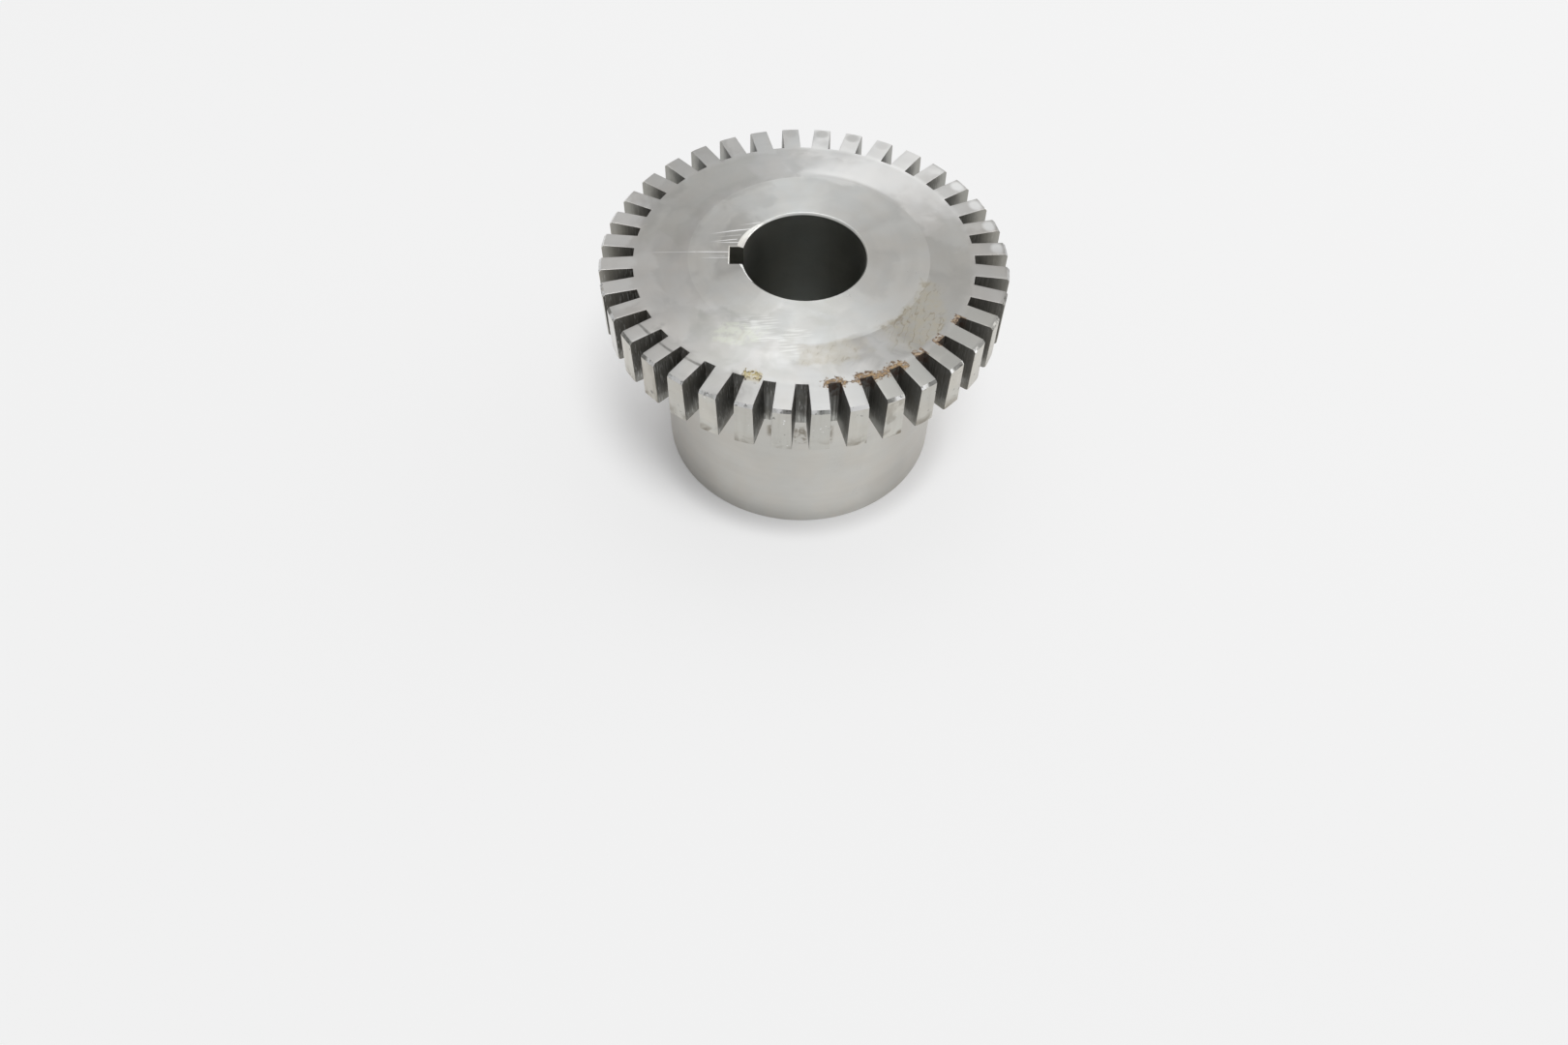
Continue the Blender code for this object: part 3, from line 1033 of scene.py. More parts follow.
@dataclass(frozen=True)
class BossSteel(Steel):
    """Steel of the boss, with painted shade at its sides and foot, a painted highlight on its lower front,
    and smudges where oil dripped on it through the slots at the front.

    Attributes:
        shaded: Where its sides have painted shade.
        foot: Heights at which the painted shade at the foot starts and is full.
        shaded_foot: Where the painted shade at its foot is darker.
        lower: Heights at which the painted shade on the lower part starts and is full.
        shaded_lower: Where its lower part has painted shade.
        bright: Heights at which the painted highlight starts and is full.
        rubbed_and_highlit: Where it has a painted highlight.
        drop: Heights between which the oil dripped on it, and over which that fades.
    """

    shaded: tuple[Stretch, ...] = (
        Stretch(190, 222, 18, 0.2),
        Stretch(190, 266, 14, 0.1),
        Stretch(322, 350, 25, 0.28),
    )
    foot: tuple[float, float] = (7.0, 1.0)
    shaded_foot: Stretch = Stretch(205, 258, 14, 0.17)
    lower: tuple[float, float] = (20.0, 8.0)
    shaded_lower: Stretch = Stretch(302, 316, 7, 0.12)
    bright: tuple[float, float] = (28.0, 16.0)
    rubbed_and_highlit: Stretch = Stretch(252, 294, 12, 0.06)
    drop: tuple[float, float, float] = (36.5, 40.0, 1.5)

    def weather(self, surface: Surface) -> None:
        """Puts on painted shade at the sides and at the foot, a painted highlight, and the smudges.

        Args:
            surface: The clean surface.
        """
        spot = surface.spot
        cloud = spot.cloud(0.45, 4.0, warp=0.6)
        # Painted shade at the sides and at the foot, and a painted highlight on the lower front.
        surface.cover(spot.marked(*self.shaded), SMUDGE_AND_SHADE)
        surface.cover(spot.z.rise(*self.foot) * (0.03 + spot.marked(self.shaded_foot)), SMUDGE_AND_SHADE)
        surface.cover(spot.z.rise(*self.lower) * spot.marked(self.shaded_lower), SMUDGE_AND_SHADE)
        surface.cover(spot.z.rise(*self.bright) * spot.marked(self.rubbed_and_highlit), RUB_AND_HIGHLIGHT)
        below = spot.from_slot().rise(2.6, 1.0) * spot.angle.band(256, 284, 4)
        drop = (spot.z + cloud.sway(8)).band(*self.drop)
        surface.cover(below * drop * cloud.rise(0.36, 0.52) * 0.65, OIL_EDGE)


@dataclass(frozen=True)
class SlotSteel(Steel):
    """Steel in the slots, with a dark coat that is partly old oil and partly painted shade, darker towards
    their roots and at the front, and thinner towards their lower ends.

    Attributes:
        root: Radii at which a slot's root starts and is full.
        worn: Heights over which the dark coat thins towards the slots' lower ends.
        inward: Radii at which the dark coat, partly thicker oil and partly painted shade, starts to
            thicken towards the roots and is full.
        oily_and_shaded: The slots at the front, with more oil and more painted shade.
        chipped: Slots with more bright chips on their walls.
    """

    root: tuple[float, float] = (44.4, 43.8)
    worn: tuple[float, float] = (54.5, 49.5)
    inward: tuple[float, float] = (51.0, 44.5)
    oily_and_shaded: Stretch = Stretch(196, 346, 10)
    chipped: Stretch = Stretch(182, 268, 8, 0.4)

    def weather(self, surface: Surface) -> None:
        """Puts on the dark coat of oil and painted shade, which is streaked down the roots, bright chips,
        and rust at the tops of the roots.

        Args:
            surface: The clean surface.
        """
        spot = surface.spot
        drips = spot.marks(Lay.SLOTTED, 0.35, 1.4, detail=4.0)
        cloud = spot.cloud(0.25, 3.0)
        height = spot.z + cloud.sway(9)
        root = spot.radius.rise(*self.root)
        worn = height.rise(*self.worn)
        streaks = root * drips.rise(0.40, 0.62) * height.rise(62.5, 57.0)
        inward = (spot.radius + cloud.sway(5)).rise(*self.inward)
        front = spot.marked(self.oily_and_shaded)
        surface.cover(front * cloud.rise(0.40, 0.62) * 0.3, OIL_EDGE)
        # The dark coat: partly old oil, partly painted shade that deepens towards the roots and at the
        # front, thinning towards the lower ends.
        oil = 0.18 + inward * 0.56 + front * (1 - inward) * 0.45
        marks = spot.marks(Lay.SLOTTED, 0.3, 0.15, detail=3.0)
        oil = oil * (1 - worn * 0.5 - streaks * 0.6) * (0.7 + drips * 0.6)
        surface.cover(oil * (0.6 + marks * 0.8), GRIME_AND_SHADE)
        chips = spot.marks(Lay.SLOTTED, 0.3, 12.0, detail=2.0)
        surface.cover(chips.rise(0.58, 0.70) * (0.12 + spot.marked(self.chipped)), WIPE)
        crust = spot.cloud(0.7, 3.0)
        top = spot.radius.rise(46.0, 44.0) * (spot.z + crust.sway(6)).rise(58.0, 61.5)
        surface.cover(top * spot.marked(*RUSTED_SLOTS) * crust.rise(0.35, 0.55) * 0.75, RUST)


@dataclass(frozen=True)
class BlackOxide(Steel):
    """Black oxide on the set screw, worn bright on its crests.

    Attributes:
        axis_height: Height of the screw's axis.
        crest: Radius of the thread's crests.
        worn_depth: How far below the crests the wear reaches.
    """

    axis_height: float = 19.05
    crest: float = 4.7625
    worn_depth: float = 0.12

    def weather(self, surface: Surface) -> None:
        """Lays bare some steel on the crests of the thread.

        Args:
            surface: The clean surface.
        """
        spot = surface.spot
        up = spot.z - self.axis_height
        radius = spot.y.hypot(up)
        rubbed_and_highlit = spot.cloud(0.8, 3.0).rise(0.45, 0.65)
        surface.cover(radius.rise(self.crest - self.worn_depth, self.crest) * rubbed_and_highlit * 0.5, WIPE)


HUB_FINISHES = {
    Zone.PAD: FaceSteel(
        "faced_pad_steel",
        (0.565, 0.562, 0.56),
        0.31,
        Lay.FACED,
        lay_share=0.05,
        spread=0.8,
        outer=32.0,
    ),
    Zone.RING: RingSteel(
        "faced_ring_steel",
        (0.53, 0.522, 0.522),
        0.31,
        Lay.FACED,
        lay_share=0.03,
        lay_depth=0.0006,
        spread=0.85,
        spread_turn=0.27,
        inner=29.6,
    ),
    # The chamfers' steel is lighter than the face's, partly as a painted highlight.
    Zone.CHAMFER: ChamferSteel("chamfer_steel", (0.72, 0.715, 0.70), 0.25, Lay.TURNED, spread=0.3),
    Zone.RIM: RimSteel("tooth_rim_steel", (0.62, 0.60, 0.565), 0.30, Lay.TURNED, spread=0.5),
    Zone.SLOT: SlotSteel("slot_steel", (0.46, 0.455, 0.435), 0.40, Lay.SLOTTED, spread=0.0),
    Zone.BOSS: BossSteel("boss_steel", (0.605, 0.583, 0.555), 0.30, Lay.TURNED, spread=0.5),
    Zone.BORE: Steel("bore_steel", (0.41, 0.415, 0.40), 0.38, Lay.TURNED, spread=0.4),
    # The lip's steel is far brighter than the rest, as a painted highlight on the bore's edge.
    Zone.LIP: LipSteel("bore_lip_steel", (0.92, 0.92, 0.91), 0.28, Lay.FACED, spread=0.0),
    Zone.BACK: Steel("back_steel", (0.52, 0.515, 0.50), 0.38, Lay.FACED, spread=0.6),
}
SCREW_FINISH = BlackOxide("screw_black_oxide", (0.045, 0.048, 0.055), 0.40, Lay.SLOTTED, spread=0.0)


def round_axis(radius: float, angle: float, height: float) -> Vector:
    """The place at a distance and an angle from the Z axis."""
    return Vector((radius * math.cos(angle), radius * math.sin(angle), height))


class Piece:
    """A mesh object that is modelled as by hand, with Blender's own operators."""

    def __init__(self, name: str, add: Callable[..., set[str]], **options: object) -> None:
        """Adds a primitive as the start of a piece.

        Args:
            name: The object's name.
            add: The operator that adds the primitive.
            options: The operator's own options.
        """
        bpy.ops.object.select_all(action="DESELECT")
        add(**options)
        self.thing = bpy.context.active_object
        self.thing.name = name
        self.thing.data.name = name
        bpy.ops.object.transform_apply(location=True, rotation=True, scale=True)

    def hold(self) -> None:
        """Makes this piece the only one that is selected."""
        bpy.ops.object.select_all(action="DESELECT")
        self.thing.select_set(True)
        bpy.context.view_layer.objects.active = self.thing

    @contextmanager
    def editing(self) -> Iterator[None]:
        """Edit mode on this piece alone, with everything in it selected.

        Yields:
            Nothing, while edit mode is on.
        """
        self.hold()
        bpy.ops.object.mode_set(mode="EDIT")
        bpy.ops.mesh.select_all(action="SELECT")
        yield
        bpy.ops.object.mode_set(mode="OBJECT")

    def pick(self, part: Part, wanted: Callable[[object], bool]) -> None:
        """Selects, in edit mode, only the vertices, edges or faces that pass a test.

        Args:
            part: Which of them are picked.
            wanted: The test, on one element of the mesh.
        """
        bpy.context.tool_settings.mesh_select_mode = [part is kind for kind in Part]
        bpy.ops.mesh.select_all(action="DESELECT")
        form = bmesh.from_edit_mesh(self.thing.data)
        form.normal_update()
        for item in getattr(form, part.value):
            item.select_set(wanted(item))
        form.select_flush_mode()
        bmesh.update_edit_mesh(self.thing.data)

    def pick_end(self, up: int) -> None:
        """Selects, in edit mode, only the faces that look up, for 1, or down, for -1."""
        self.pick(Part.FACE, lambda face: face.normal.z * up > END)

    def draw(self, up: float, along_x: float = 0.0) -> None:
        """Extrudes what is selected in edit mode."""
        bpy.ops.mesh.extrude_region_move(TRANSFORM_OT_translate={"value": (along_x, 0, up)})

    def widen(self, by_x: float, by_y: float, middle_x: float = 0.0) -> None:
        """Scales what is selected in edit mode, about a line along Z."""
        bpy.ops.transform.resize(value=(by_x, by_y, 1), center_override=(middle_x, 0, 0))

    def bevel(self, width: float, steps: int) -> None:
        """Bevels the edges that are selected in edit mode."""
        bpy.ops.mesh.bevel(offset=width, segments=steps, clamp_overlap=False)

    def shape(self, move: Callable[[Vector], Vector]) -> None:
        """Puts each vertex at a new place that is worked out from its old one."""
        for vert in self.thing.data.vertices:
            vert.co = move(vert.co)

    def close(self) -> None:
        """Merges what meets, and turns all faces outwards."""
        with self.editing():
            bpy.ops.mesh.remove_doubles(threshold=MERGE)
            bpy.ops.mesh.normals_make_consistent(inside=False)

    def modify(self, kind: str, **settings: object) -> None:
        """Adds a modifier and applies it.

        Args:
            kind: The modifier's type.
            settings: Its own settings.
        """
        self.hold()
        bpy.ops.object.modifier_add(type=kind)
        added = self.thing.modifiers[-1]
        for name, value in settings.items():
            setattr(added, name, value)
        bpy.ops.object.modifier_apply(modifier=added.name)

    def cut(self, cutter: "Piece") -> None:
        """Takes a cutter's shape out of this piece, and removes the cutter."""
        self.modify("BOOLEAN", operation="DIFFERENCE", solver="EXACT", object=cutter.thing)
        bpy.data.objects.remove(cutter.thing, do_unlink=True)

    def smooth(self) -> None:
        """Smooths round faces, and keeps flat ones flat up to their broken edges."""
        self.hold()
        bpy.ops.object.shade_smooth_by_angle(angle=SMOOTH_ANGLE)
        self.modify("WEIGHTED_NORMAL", keep_sharp=True, weight=100)

    def dress(self, materials: list[bpy.types.Material], slot_of: Callable[[Vector, Vector], int]) -> None:
        """Gives the piece its materials.

        Args:
            materials: One for each material slot.
            slot_of: Gives a face's slot from its middle and its normal.
        """
        self.thing.data.materials.clear()
        for material in materials:
            self.thing.data.materials.append(material)
        for face in self.thing.data.polygons:
            face.material_index = slot_of(face.center, face.normal)

    def fit(self, body: str, node: str, slot: str) -> None:
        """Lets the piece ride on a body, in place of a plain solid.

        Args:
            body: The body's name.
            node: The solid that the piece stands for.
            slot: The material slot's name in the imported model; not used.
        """
        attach(self.thing, body)
        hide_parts(node)
        LOG.info("%s rides on %s, %d faces", self.thing.name, body, len(self.thing.data.polygons))


@dataclass(frozen=True)
class Thread:
    """A screw thread: a V with flat crests and roots that climbs a pitch a turn."""

    root: float
    crest: float
    pitch: float
    flat_share: float = 0.125
    rings_per_turn: int = 8

    def radius(self, angle: float, height: float) -> float:
        """Radius of the thread at one place.

        Args:
            angle: The place's angle about the axis.
            height: Its height.

        Returns:
            The radius there.
        """
        along = (height / self.pitch - angle / math.tau) % 1
        from_crest = 2 * abs(along - 0.5)
        share = (from_crest - self.flat_share) / (1 - 2 * self.flat_share)
        return self.crest + (self.root - self.crest) * min(max(share, 0), 1)

    def bar(self, name: str, sides: int, low: float, high: float) -> Piece:
        """A round bar along Z, cut into rings that are fine enough to carry the thread.

        Args:
            name: The object's name.
            sides: Corners of the bar's section.
            low: Height of its lower end.
            high: Height of its upper end.

        Returns:
            The bar, of radius 1, with flat ends.
        """
        rings = round((high - low) / self.pitch * self.rings_per_turn)
        bar = Piece(
            name,
            bpy.ops.mesh.primitive_circle_add,
            vertices=sides,
            radius=1.0,
            fill_type="NGON",
            location=(0, 0, low),
        )
        with bar.editing():
            for _ in range(rings):
                bar.draw((high - low) / rings)
        bar.close()
        return bar


@dataclass
class SetScrew:
    """The socket set screw, with a thread all along it and a cup point."""

    diameter: float = 9.525 * MM
    length: float = 9.525 * MM
    pitch: float = 25.4 * MM / 16
    depth_per_pitch: float = 0.6134
    end_radius: float = 3.65 * MM
    socket_across: float = 4.7625 * MM
    socket_depth: float = 4.0 * MM
    socket_edge: float = 0.2 * MM
    cup_radius: float = 2.6 * MM
    cup_angle: float = math.radians(118)
    sides: int = 64

    def blank(self) -> Piece:
        """Makes the threaded bar, with both ends chamfered and the cup sunk into the lower one.

        Returns:
            The bar, along Z.
        """
        crest = self.diameter / 2
        thread = Thread(crest - self.depth_per_pitch * self.pitch, crest, self.pitch)
        half = self.length / 2
        blank = thread.bar("set_screw", self.sides, -half, half)

        def turned(spot: Vector) -> Vector:
            """Moves a corner of the bar.

            Args:
                spot: Its place on the plain bar.

            Returns:
                Its place on the thread, or on the chamfer at either end.
            """
            angle = math.atan2(spot.y, spot.x)
            radius = min(thread.radius(angle, spot.z), self.end_radius + half - abs(spot.z))
            return round_axis(radius, angle, spot.z)

        blank.shape(turned)
        cup_depth = self.cup_radius / math.tan(self.cup_angle / 2)
        with blank.editing():
            blank.pick(Part.FACE, lambda face: face.normal.z < -END and len(face.verts) == self.sides)
            bpy.ops.mesh.inset(thickness=self.end_radius - self.cup_radius)
            bpy.ops.mesh.poke(offset=-cup_depth)
        return blank

    def socket_cutter(self) -> Piece:
        """Makes the hexagon socket, with a drilled point below it and a broken edge at its mouth.

        Returns:
            The cutter.
        """
        corner = self.socket_across / 2 / math.cos(math.pi / 6)
        mouth = self.length / 2 - self.socket_edge
        floor = self.length / 2 - self.socket_depth
        cutter = Piece(
            "socket_cutter",
            bpy.ops.mesh.primitive_cylinder_add,
            vertices=6,
            radius=corner,
            depth=mouth - floor,
            location=(0, 0, (mouth + floor) / 2),
        )
        grow = (corner + self.socket_edge + CUT_PAST) / corner
        with cutter.editing():
            cutter.pick_end(-1)
            bpy.ops.mesh.poke(offset=corner / 2)
            cutter.pick_end(1)
            cutter.draw(self.socket_edge + CUT_PAST)
            cutter.widen(grow, grow)
        return cutter

    def build(self) -> None:
        """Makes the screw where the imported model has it, with its socket outwards."""
        low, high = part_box("set_screw")
        screw = self.blank()
        screw.cut(self.socket_cutter())
        place = Matrix.Translation((low + high) / 2) @ OUTWARDS
        screw.shape(lambda spot: place @ spot)
        screw.close()
        screw.smooth()
        screw.dress([SCREW_FINISH.material()], lambda middle, normal: 0)
        screw.fit("set_screw", "set_screw", "black_oxide")


@dataclass(frozen=True)
class Ring:
    """One ring of the turned body: its radius, its height, and how far it lies off the axis."""

    radius: float
    height: float
    offset: float = 0.0


@dataclass
class Hub:
    """The hub: a boss, a flange slotted round its edge, a bore, a keyway and a tapped hole."""

    length: float = 63.5 * MM
    boss_radius: float = 38.1 * MM
    boss_chamfer: float = 0.3 * MM
    flange_radius: float = 52.16 * MM
    flange_thickness: float = 13.9 * MM
    flange_fillet: float = 1.2 * MM
    fillet_steps: int = 6
    rim_chamfer: float = 0.7 * MM
    back_chamfer: float = 0.4 * MM
    web_radius: float = 41.0 * MM
    pad_radius: float = 30.8 * MM
    pad_offset: float = 1.2 * MM
    relief: float = 0.3 * MM
    bore_radius: float = 15.875 * MM
    bore_chamfer: float = 0.5 * MM
    keyway_width: float = 6.35 * MM
    keyway_depth: float = 3.175 * MM
    keyway_edge: float = 0.25 * MM
    dressing_width: float = 1.6 * MM
    dressing_offset: float = 5.0 * MM
    dressing_angle: float = math.radians(166)
    dressing_slope: float = math.radians(20)
    dressing_depth: float = 2.0 * MM
    dressing_sides: int = 144
    root_radius: float = 43.5 * MM
    slot_root_width: float = 2.6 * MM
    slot_rim_width: float = 4.2 * MM
    slot_flare: float = 0.4 * MM
    flare_steps: int = 6
    edge_break: float = 0.12 * MM
    hole_radius: float = 5.0125 * MM
    hole_groove: float = 0.75 * MM
    hole_pitch: float = 25.4 * MM / 16
    hole_countersink: float = 0.7 * MM
    hole_sides: int = 48

    @property
    def face_height(self) -> float:
        """Height of the face at the rim."""
        return self.length - self.relief

    @property
    def back_height(self) -> float:
        """Height of the flange's back."""
        return self.face_height - self.flange_thickness

    def face_at(self, radius: float) -> float:
        """Height of the face: level on the pad, and falling from there to the rim."""
        fall = (radius - self.pad_radius) / (self.flange_radius - self.pad_radius)
        return self.length - self.relief * max(fall, 0)

    def slot_half_width(self, radius: float, rise: float) -> float:
        """Half the width of a slot.

        Args:
            radius: Distance from the axis.
            rise: Share of the way up from the flange's back to its face.

        Returns:
            Half the width there.
        """
        outwards = (radius - self.root_radius) / (self.flange_radius - self.root_radius)
        width = self.slot_root_width + (self.slot_rim_width - self.slot_root_width) * outwards
        return (width + self.slot_flare * rise**2) / 2

    def tooth_place(self, spot: Vector) -> Vector:
        """Where a corner of the half tooth's grid goes.

        Args:
            spot: The corner in the grid: rows of X from web to rim, columns of Y from the middle of
                the slot to the middle of the tooth, and Z from back to face.

        Returns:
            Its place on the hub.
        """
        radius = (self.web_radius, self.root_radius, self.flange_radius)[round(spot.x) + 1]
        column = round((spot.y + 1) * GRID_COLUMNS / GRID_SIZE)
        half_sector = math.pi / SLOT_COUNT
        angle = half_sector * column / GRID_COLUMNS
        if radius > self.web_radius and column > 0:
            edge = math.asin(self.slot_half_width(radius, spot.z) / radius)
            angle = edge + (half_sector - edge) * (column - 1) / (GRID_COLUMNS - 1)
        height = self.back_height + (self.face_at(radius) - self.back_height) * spot.z
        return round_axis(radius, angle, height)

    def half_tooth(self) -> Piece:
        """Makes half a tooth and half a slot: a grid, cut out, drawn up, bent to shape and bevelled.

        Returns:
            The half tooth, open where its neighbours join on.
        """
        tooth = Piece(
            "hub",
            bpy.ops.mesh.primitive_grid_add,
            x_subdivisions=GRID_ROWS,
            y_subdivisions=GRID_COLUMNS,
            size=GRID_SIZE,
        )
        with tooth.editing():
            tooth.pick(Part.FACE, lambda face: self.is_in_slot(face.calc_center_median()))
            bpy.ops.mesh.delete(type="FACE")
            bpy.ops.mesh.select_all(action="SELECT")
            for _ in range(self.flare_steps):
                tooth.draw(1 / self.flare_steps)
            tooth.pick(Part.FACE, lambda face: self.is_open_side(face.calc_center_median()))
            bpy.ops.mesh.delete(type="FACE")
        tooth.shape(self.tooth_place)
        with tooth.editing():
            bpy.ops.mesh.normals_make_consistent(inside=False)
            self.bevel_rim(tooth, self.face_height, self.rim_chamfer)
            self.bevel_rim(tooth, self.back_height, self.back_chamfer)
            tooth.pick(Part.EDGE, lambda edge: edge.calc_face_angle(0) > TOOTH_CORNER)
            tooth.bevel(self.edge_break, 2)
        return tooth

    @staticmethod
    def is_in_slot(middle: Vector) -> bool:
        """Whether a square of the half tooth's grid lies in the slot, and so is cut out."""
        return middle.x > 0 and middle.y < GRID_SLOT_END

    @staticmethod
    def is_open_side(middle: Vector) -> bool:
        """Whether a side of the half tooth's grid meets its neighbour, and so stays open."""
        return middle.x < -GRID_SIDE or abs(middle.y) > GRID_SIDE

    def bevel_rim(self, tooth: Piece, height: float, width: float) -> None:
        """Bevels the tooth's rim, by one step.

        Args:
            tooth: The half tooth, in edit mode.
            height: Height of the edge on the rim.
            width: Width of the bevel.
        """

        def on_rim(vert: bmesh.types.BMVert) -> bool:
            """Whether a vertex lies on the rim at that height."""
            off = abs(vert.co.xy.length - self.flange_radius)
            return off < MERGE and abs(vert.co.z - height) < MERGE

        tooth.pick(Part.EDGE, lambda edge: all(on_rim(vert) for vert in edge.verts))
        tooth.bevel(width, 1)

    def crown(self) -> Piece:
        """Makes the whole slotted edge of the flange from one half tooth.

        Returns:
            The crown, open towards the body.
        """
        crown = self.half_tooth()
        crown.modify("MIRROR", use_axis=(False, True, False), merge_threshold=MERGE)
        copies = SLOT_COUNT - 1
        with crown.editing():
            bpy.ops.mesh.spin(
                steps=copies,
                dupli=True,
                angle=math.tau * copies / SLOT_COUNT,
                center=(0, 0, 0),
                axis=(0, 0, 1),
            )
        crown.close()
        turn = Matrix.Rotation(math.radians(SLOT_TURN), 4, "Z")
        crown.shape(lambda spot: turn @ spot)
        return crown

    def rings(self) -> list[Ring]:
        """The turned body's section, from the face's web in, down the bore, and up the outside.

        Returns:
            Its rings in order.
        """
        fillet = []
        for step in range(self.fillet_steps + 1):
            angle = math.pi / 2 * step / self.fillet_steps
            fillet.append(
                Ring(
                    self.boss_radius + self.flange_fillet * (1 - math.cos(angle)),
                    self.back_height - self.flange_fillet * (1 - math.sin(angle)),
                )
            )
        return [
            Ring(self.pad_radius, self.length, self.pad_offset),
            Ring(self.bore_radius + self.bore_chamfer, self.length),
            Ring(self.bore_radius, self.length - self.bore_chamfer),
            Ring(self.bore_radius, self.bore_chamfer),
            Ring(self.bore_radius + self.bore_chamfer, 0),
            Ring(self.boss_radius - self.boss_chamfer, 0),
            Ring(self.boss_radius, self.boss_chamfer),
            *fillet,
            Ring(self.web_radius, self.back_height),
        ]

    def turn_body(self, hub: Piece) -> None:
        """Draws the crown's inner edge ring by ring along the section of the body.

        Args:
            hub: The crown, which becomes the hub.
        """
        last = Ring(self.web_radius, self.face_at(self.web_radius))

        def at_start(edge: bmesh.types.BMEdge) -> bool:
            """Whether an edge lies on the open ring of the face's web."""
            on_web = all(vert.co.xy.length < self.web_radius + MERGE for vert in edge.verts)
            return edge.is_boundary and on_web and edge.verts[0].co.z > self.back_height + MERGE

        with hub.editing():
            hub.pick(Part.EDGE, at_start)
            for ring in self.rings():
                grow = ring.radius / last.radius
                hub.draw(ring.height - last.height, ring.offset - last.offset)
                hub.widen(grow, grow, ring.offset)
                last = ring
        hub.close()
        with hub.editing():
            hub.pick(Part.EDGE, self.is_turned_corner)
            hub.bevel(self.edge_break, 2)

    def is_turned_corner(self, edge: bmesh.types.BMEdge) -> bool:
        """Whether an edge is a sharp corner of the turned body."""
        inside = all(vert.co.xy.length < self.web_radius - MERGE for vert in edge.verts)
        return inside and edge.calc_face_angle(0) > TURNED_CORNER

    def keyway_cutter(self) -> Piece:
        """Makes the keyway, which widens at both ends to break its edges.

        Returns:
            The cutter.
        """
        floor = self.bore_radius + self.keyway_depth
        past = self.keyway_edge + CUT_PAST
        cutter = Piece(
            "keyway_cutter",
            bpy.ops.mesh.primitive_cube_add,
            size=1,
            location=(-floor / 2, 0, self.length / 2),
            scale=(floor, self.keyway_width, self.length - 2 * self.keyway_edge),
        )
        with cutter.editing():
            for up in (1, -1):
                cutter.pick_end(up)
                cutter.draw(past * up)
                cutter.widen((floor + past) / floor, 1 + 2 * past / self.keyway_width)
        return cutter

    def dressing_cutter(self) -> Piece:
        """Makes a flat cone, off the bore's axis, that dresses the bore's edge beside the keyway.

        Returns:
            The cutter.
        """
        at_face = self.bore_radius + self.dressing_width - self.dressing_offset
        run = 1 / math.tan(self.dressing_slope)
        middle = self.length + (CUT_PAST - self.dressing_depth) / 2
        return Piece(
            "dressing_cutter",
            bpy.ops.mesh.primitive_cone_add,
            vertices=self.dressing_sides,
            radius1=at_face - self.dressing_depth * run,
            radius2=at_face + CUT_PAST * run,
            depth=self.dressing_depth + CUT_PAST,
            location=round_axis(self.dressing_offset, self.dressing_angle, middle),
        )

    def hole_cutter(self) -> Piece:
        """Makes the set screw's tapped hole, with grooves for the thread and a countersunk mouth.

        Returns:
            The cutter.
        """
        low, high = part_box("set_screw")
        thread = Thread(self.hole_radius, self.hole_radius + self.hole_groove, self.hole_pitch)
        cutter = thread.bar(
            "hole_cutter", self.hole_sides, self.bore_radius / 2, self.boss_radius + CUT_PAST
        )
        mouth = self.boss_radius - self.hole_countersink
        place = Matrix.Translation((0, 0, (low.z + high.z) / 2)) @ OUTWARDS

        def tapped(spot: Vector) -> Vector:
            """Moves a corner of the bar.

            Args:
                spot: Its place on the plain bar, along Z.

            Returns:
                Its place on the thread's groove or on the countersink, along -X.
            """
            angle = math.atan2(spot.y, spot.x)
            radius = max(thread.radius(angle, spot.z), self.hole_radius + spot.z - mouth)
            return place @ round_axis(radius, angle, spot.z)

        cutter.shape(tapped)
        cutter.close()
        return cutter

    def zone(self, middle: Vector, normal: Vector) -> Zone:
        """Which zone of the hub a face belongs to.

        Args:
            middle: The face's middle.
            normal: The face's normal.

        Returns:
            Its zone.
        """
        radius = middle.xy.length
        outwards = normal.xy.dot(middle.xy) / radius
        off_pad = (middle.xy - Vector((self.pad_offset, 0))).length
        if normal.z > LEVEL and middle.z > self.back_height:
            return Zone.PAD if off_pad < self.pad_radius else Zone.RING
        if radius > self.flange_radius - CHAMFER_REACH * self.rim_chamfer and outwards > SLOPED:
            return Zone.CHAMFER if normal.z > SLOPED else Zone.RIM
        if radius > self.web_radius and middle.z > self.back_height + MERGE:
            return Zone.RING if normal.z > SLOPED else Zone.SLOT
        if middle.z > self.length - CHAMFER_REACH * self.bore_chamfer and normal.z > SLOPED:
            return Zone.LIP
        if outwards > ROUND:
            return Zone.BOSS
        return Zone.BACK if abs(normal.z) > SLOPED else Zone.BORE

    def build(self) -> None:
        """Makes the hub in place of its plain solid."""
        hub = self.crown()
        self.turn_body(hub)
        hub.cut(self.keyway_cutter())
        hub.cut(self.dressing_cutter())
        hub.cut(self.hole_cutter())
        hub.smooth()
        materials = [HUB_FINISHES[zone].material() for zone in Zone]
        hub.dress(materials, lambda middle, normal: self.zone(middle, normal).value)
        hub.fit("hub", "hub", "turned_steel")


@dataclass(frozen=True)
class SoftBox:
    """A soft studio lamp: its place, what it points at, its size in metres, and its power."""

    name: str
    place: tuple[float, float, float]
    aim: tuple[float, float, float]
    size: float
    power: float

    def light(self) -> None:
        """Hangs the lamp."""
        bpy.ops.object.light_add(type="AREA", location=self.place)
        lamp = bpy.context.active_object
        lamp.name = self.name
        lamp.data.shape = "SQUARE"
        lamp.data.size = self.size
        lamp.data.energy = self.power
        lamp.rotation_euler = (Vector(self.aim) - Vector(self.place)).to_track_quat("-Z", "Y").to_euler()
        LOG.info("lamp %s", self.name)


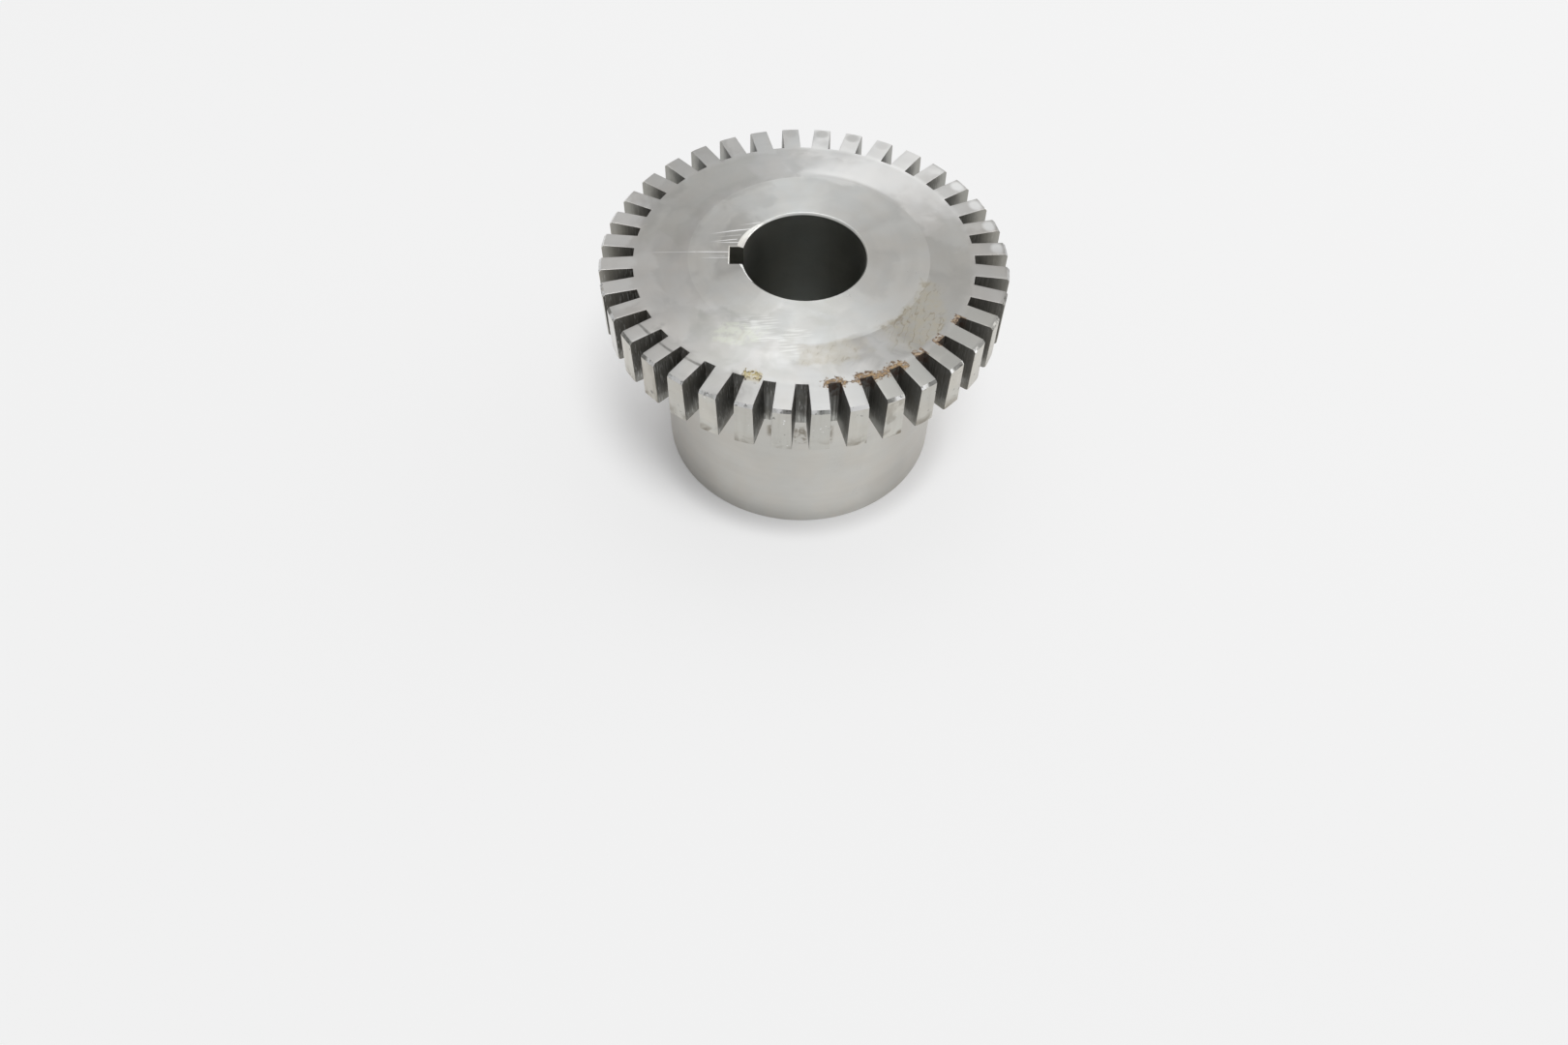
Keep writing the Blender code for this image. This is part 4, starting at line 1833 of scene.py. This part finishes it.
@dataclass
class Studio:
    """The pale floor, the soft light and the camera."""

    floor_size: float = 6.0
    floor_colour: Colour = (0.90, 0.90, 0.905)
    patch_colour: Colour = (0.84, 0.84, 0.85)
    patch_share: float = 0.06
    camera_place: tuple[float, float, float] = (-7.27 * MM, -223.53 * MM, 265.23 * MM)
    camera_turn: float = math.radians(-0.842)
    camera_tilt: float = math.radians(34.875)
    camera_roll: float = math.radians(0.98)
    camera_lens: float = 26.478
    camera_sensor: float = 36.0
    camera_nearest: float = 10 * MM
    floor_glow: float = 0.90
    glow_share: float = 0.82
    shade_share: float = 0.1
    shade_place: tuple[float, float] = (-6.0, 24.0)
    shade_scale: tuple[float, float] = (0.82, 0.8)
    shade_reach: tuple[float, float] = (38.0, 56.0)
    foot_reach: tuple[float, float] = (46.0, 38.5)
    foot_shade: float = 0.5
    room_glow: float = 0.32
    top_glow: float = 0.20
    middle_glow: float = 0.22
    right_glow: float = 0.26
    front_shade: float = 0.24
    lamps: tuple[SoftBox, ...] = (
        SoftBox("overhead", (-0.05, 0.3, 1.05), (0.0, 0.0, 0.05), 0.7, 2.7),
        SoftBox("right", (0.85, 0.35, 0.4), (0.0, 0.0, 0.05), 0.9, 3.0),
    )

    def lay_floor(self) -> None:
        """The floor that the hub stands on."""
        floor = Piece("floor", bpy.ops.mesh.primitive_plane_add, size=self.floor_size)
        sheet = NodeSheet(bpy.data.materials.new("pale_floor"))
        spot = Spot(sheet)
        patches = spot.cloud(0.02, 2.0) * self.patch_share
        colour = sheet.mix(patches, self.floor_colour, self.patch_colour)
        lit = sheet.node("ShaderNodeBsdfDiffuse", None, {"Color": colour})
        glow = sheet.node("ShaderNodeEmission", None, {"Color": WHITE, "Strength": self.floor_glow})
        seen = sheet.node("ShaderNodeLightPath", out="Is Camera Ray")
        mirrored = sheet.node("ShaderNodeLightPath", out="Is Glossy Ray")
        right = (spot.x - self.shade_place[0]) * self.shade_scale[0]
        back = (spot.y - self.shade_place[1]) * self.shade_scale[1]
        away = right.hypot(back)
        clear = self.shade_share + away.rise(*self.shade_reach) * (self.glow_share - self.shade_share)
        clear = clear * (1 - spot.radius.rise(*self.foot_reach) * self.foot_shade)
        share = (seen + mirrored) * clear
        shader = sheet.node("ShaderNodeMixShader", None, {0: share, 1: lit, 2: glow})
        sheet.node("ShaderNodeOutputMaterial", None, {"Surface": shader})
        floor.dress([sheet.owner], lambda middle, normal: 0)

    def light_room(self) -> None:
        """A white room round the hub, dimmer on the camera's side."""
        world = bpy.data.worlds.new("white_room")
        bpy.context.scene.world = world
        sheet = NodeSheet(world)
        way = sheet.node("ShaderNodeTexCoord", out="Generated")
        x, y, z = sheet.parts(way)
        glow = self.room_glow + z.rise(0.1, 0.9) * self.top_glow
        glow = glow + x.rise(-0.9, -0.25) * self.middle_glow + x.rise(0.3, 0.9) * self.right_glow
        glow = glow - y.rise(-0.35, -0.85) * z.band(0.2, 0.8, 0.2) * self.front_shade
        seen = sheet.node("ShaderNodeLightPath", out="Is Camera Ray")
        strength = glow + seen * (1 - glow)
        back = sheet.node("ShaderNodeBackground", None, {"Color": WHITE, "Strength": strength})
        sheet.node("ShaderNodeOutputWorld", None, {"Surface": back})
        for lamp in self.lamps:
            lamp.light()

    def set_camera(self) -> None:
        """The camera, where the photograph was taken from."""
        bpy.ops.object.camera_add()
        camera = bpy.context.active_object
        turn = Matrix.Rotation(self.camera_turn, 4, "Z")
        tilt = Matrix.Rotation(self.camera_tilt, 4, "X")
        roll = Matrix.Rotation(self.camera_roll, 4, "Z")
        camera.matrix_world = Matrix.Translation(self.camera_place) @ turn @ tilt @ roll
        camera.data.lens = self.camera_lens
        camera.data.sensor_width = self.camera_sensor
        camera.data.clip_start = self.camera_nearest
        bpy.context.scene.camera = camera

    def build(self) -> None:
        """Sets up the stage."""
        bpy.context.scene.view_settings.view_transform = "Standard"
        self.lay_floor()
        self.light_room()
        self.set_camera()


def write_sizes() -> None:
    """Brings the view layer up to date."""
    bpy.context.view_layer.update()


def main() -> None:
    """Builds the hub, its set screw and the studio."""
    logging.basicConfig(level=logging.INFO)
    Hub().build()
    SetScrew().build()
    Studio().build()
    write_sizes()


if __name__ == "__main__":
    main()
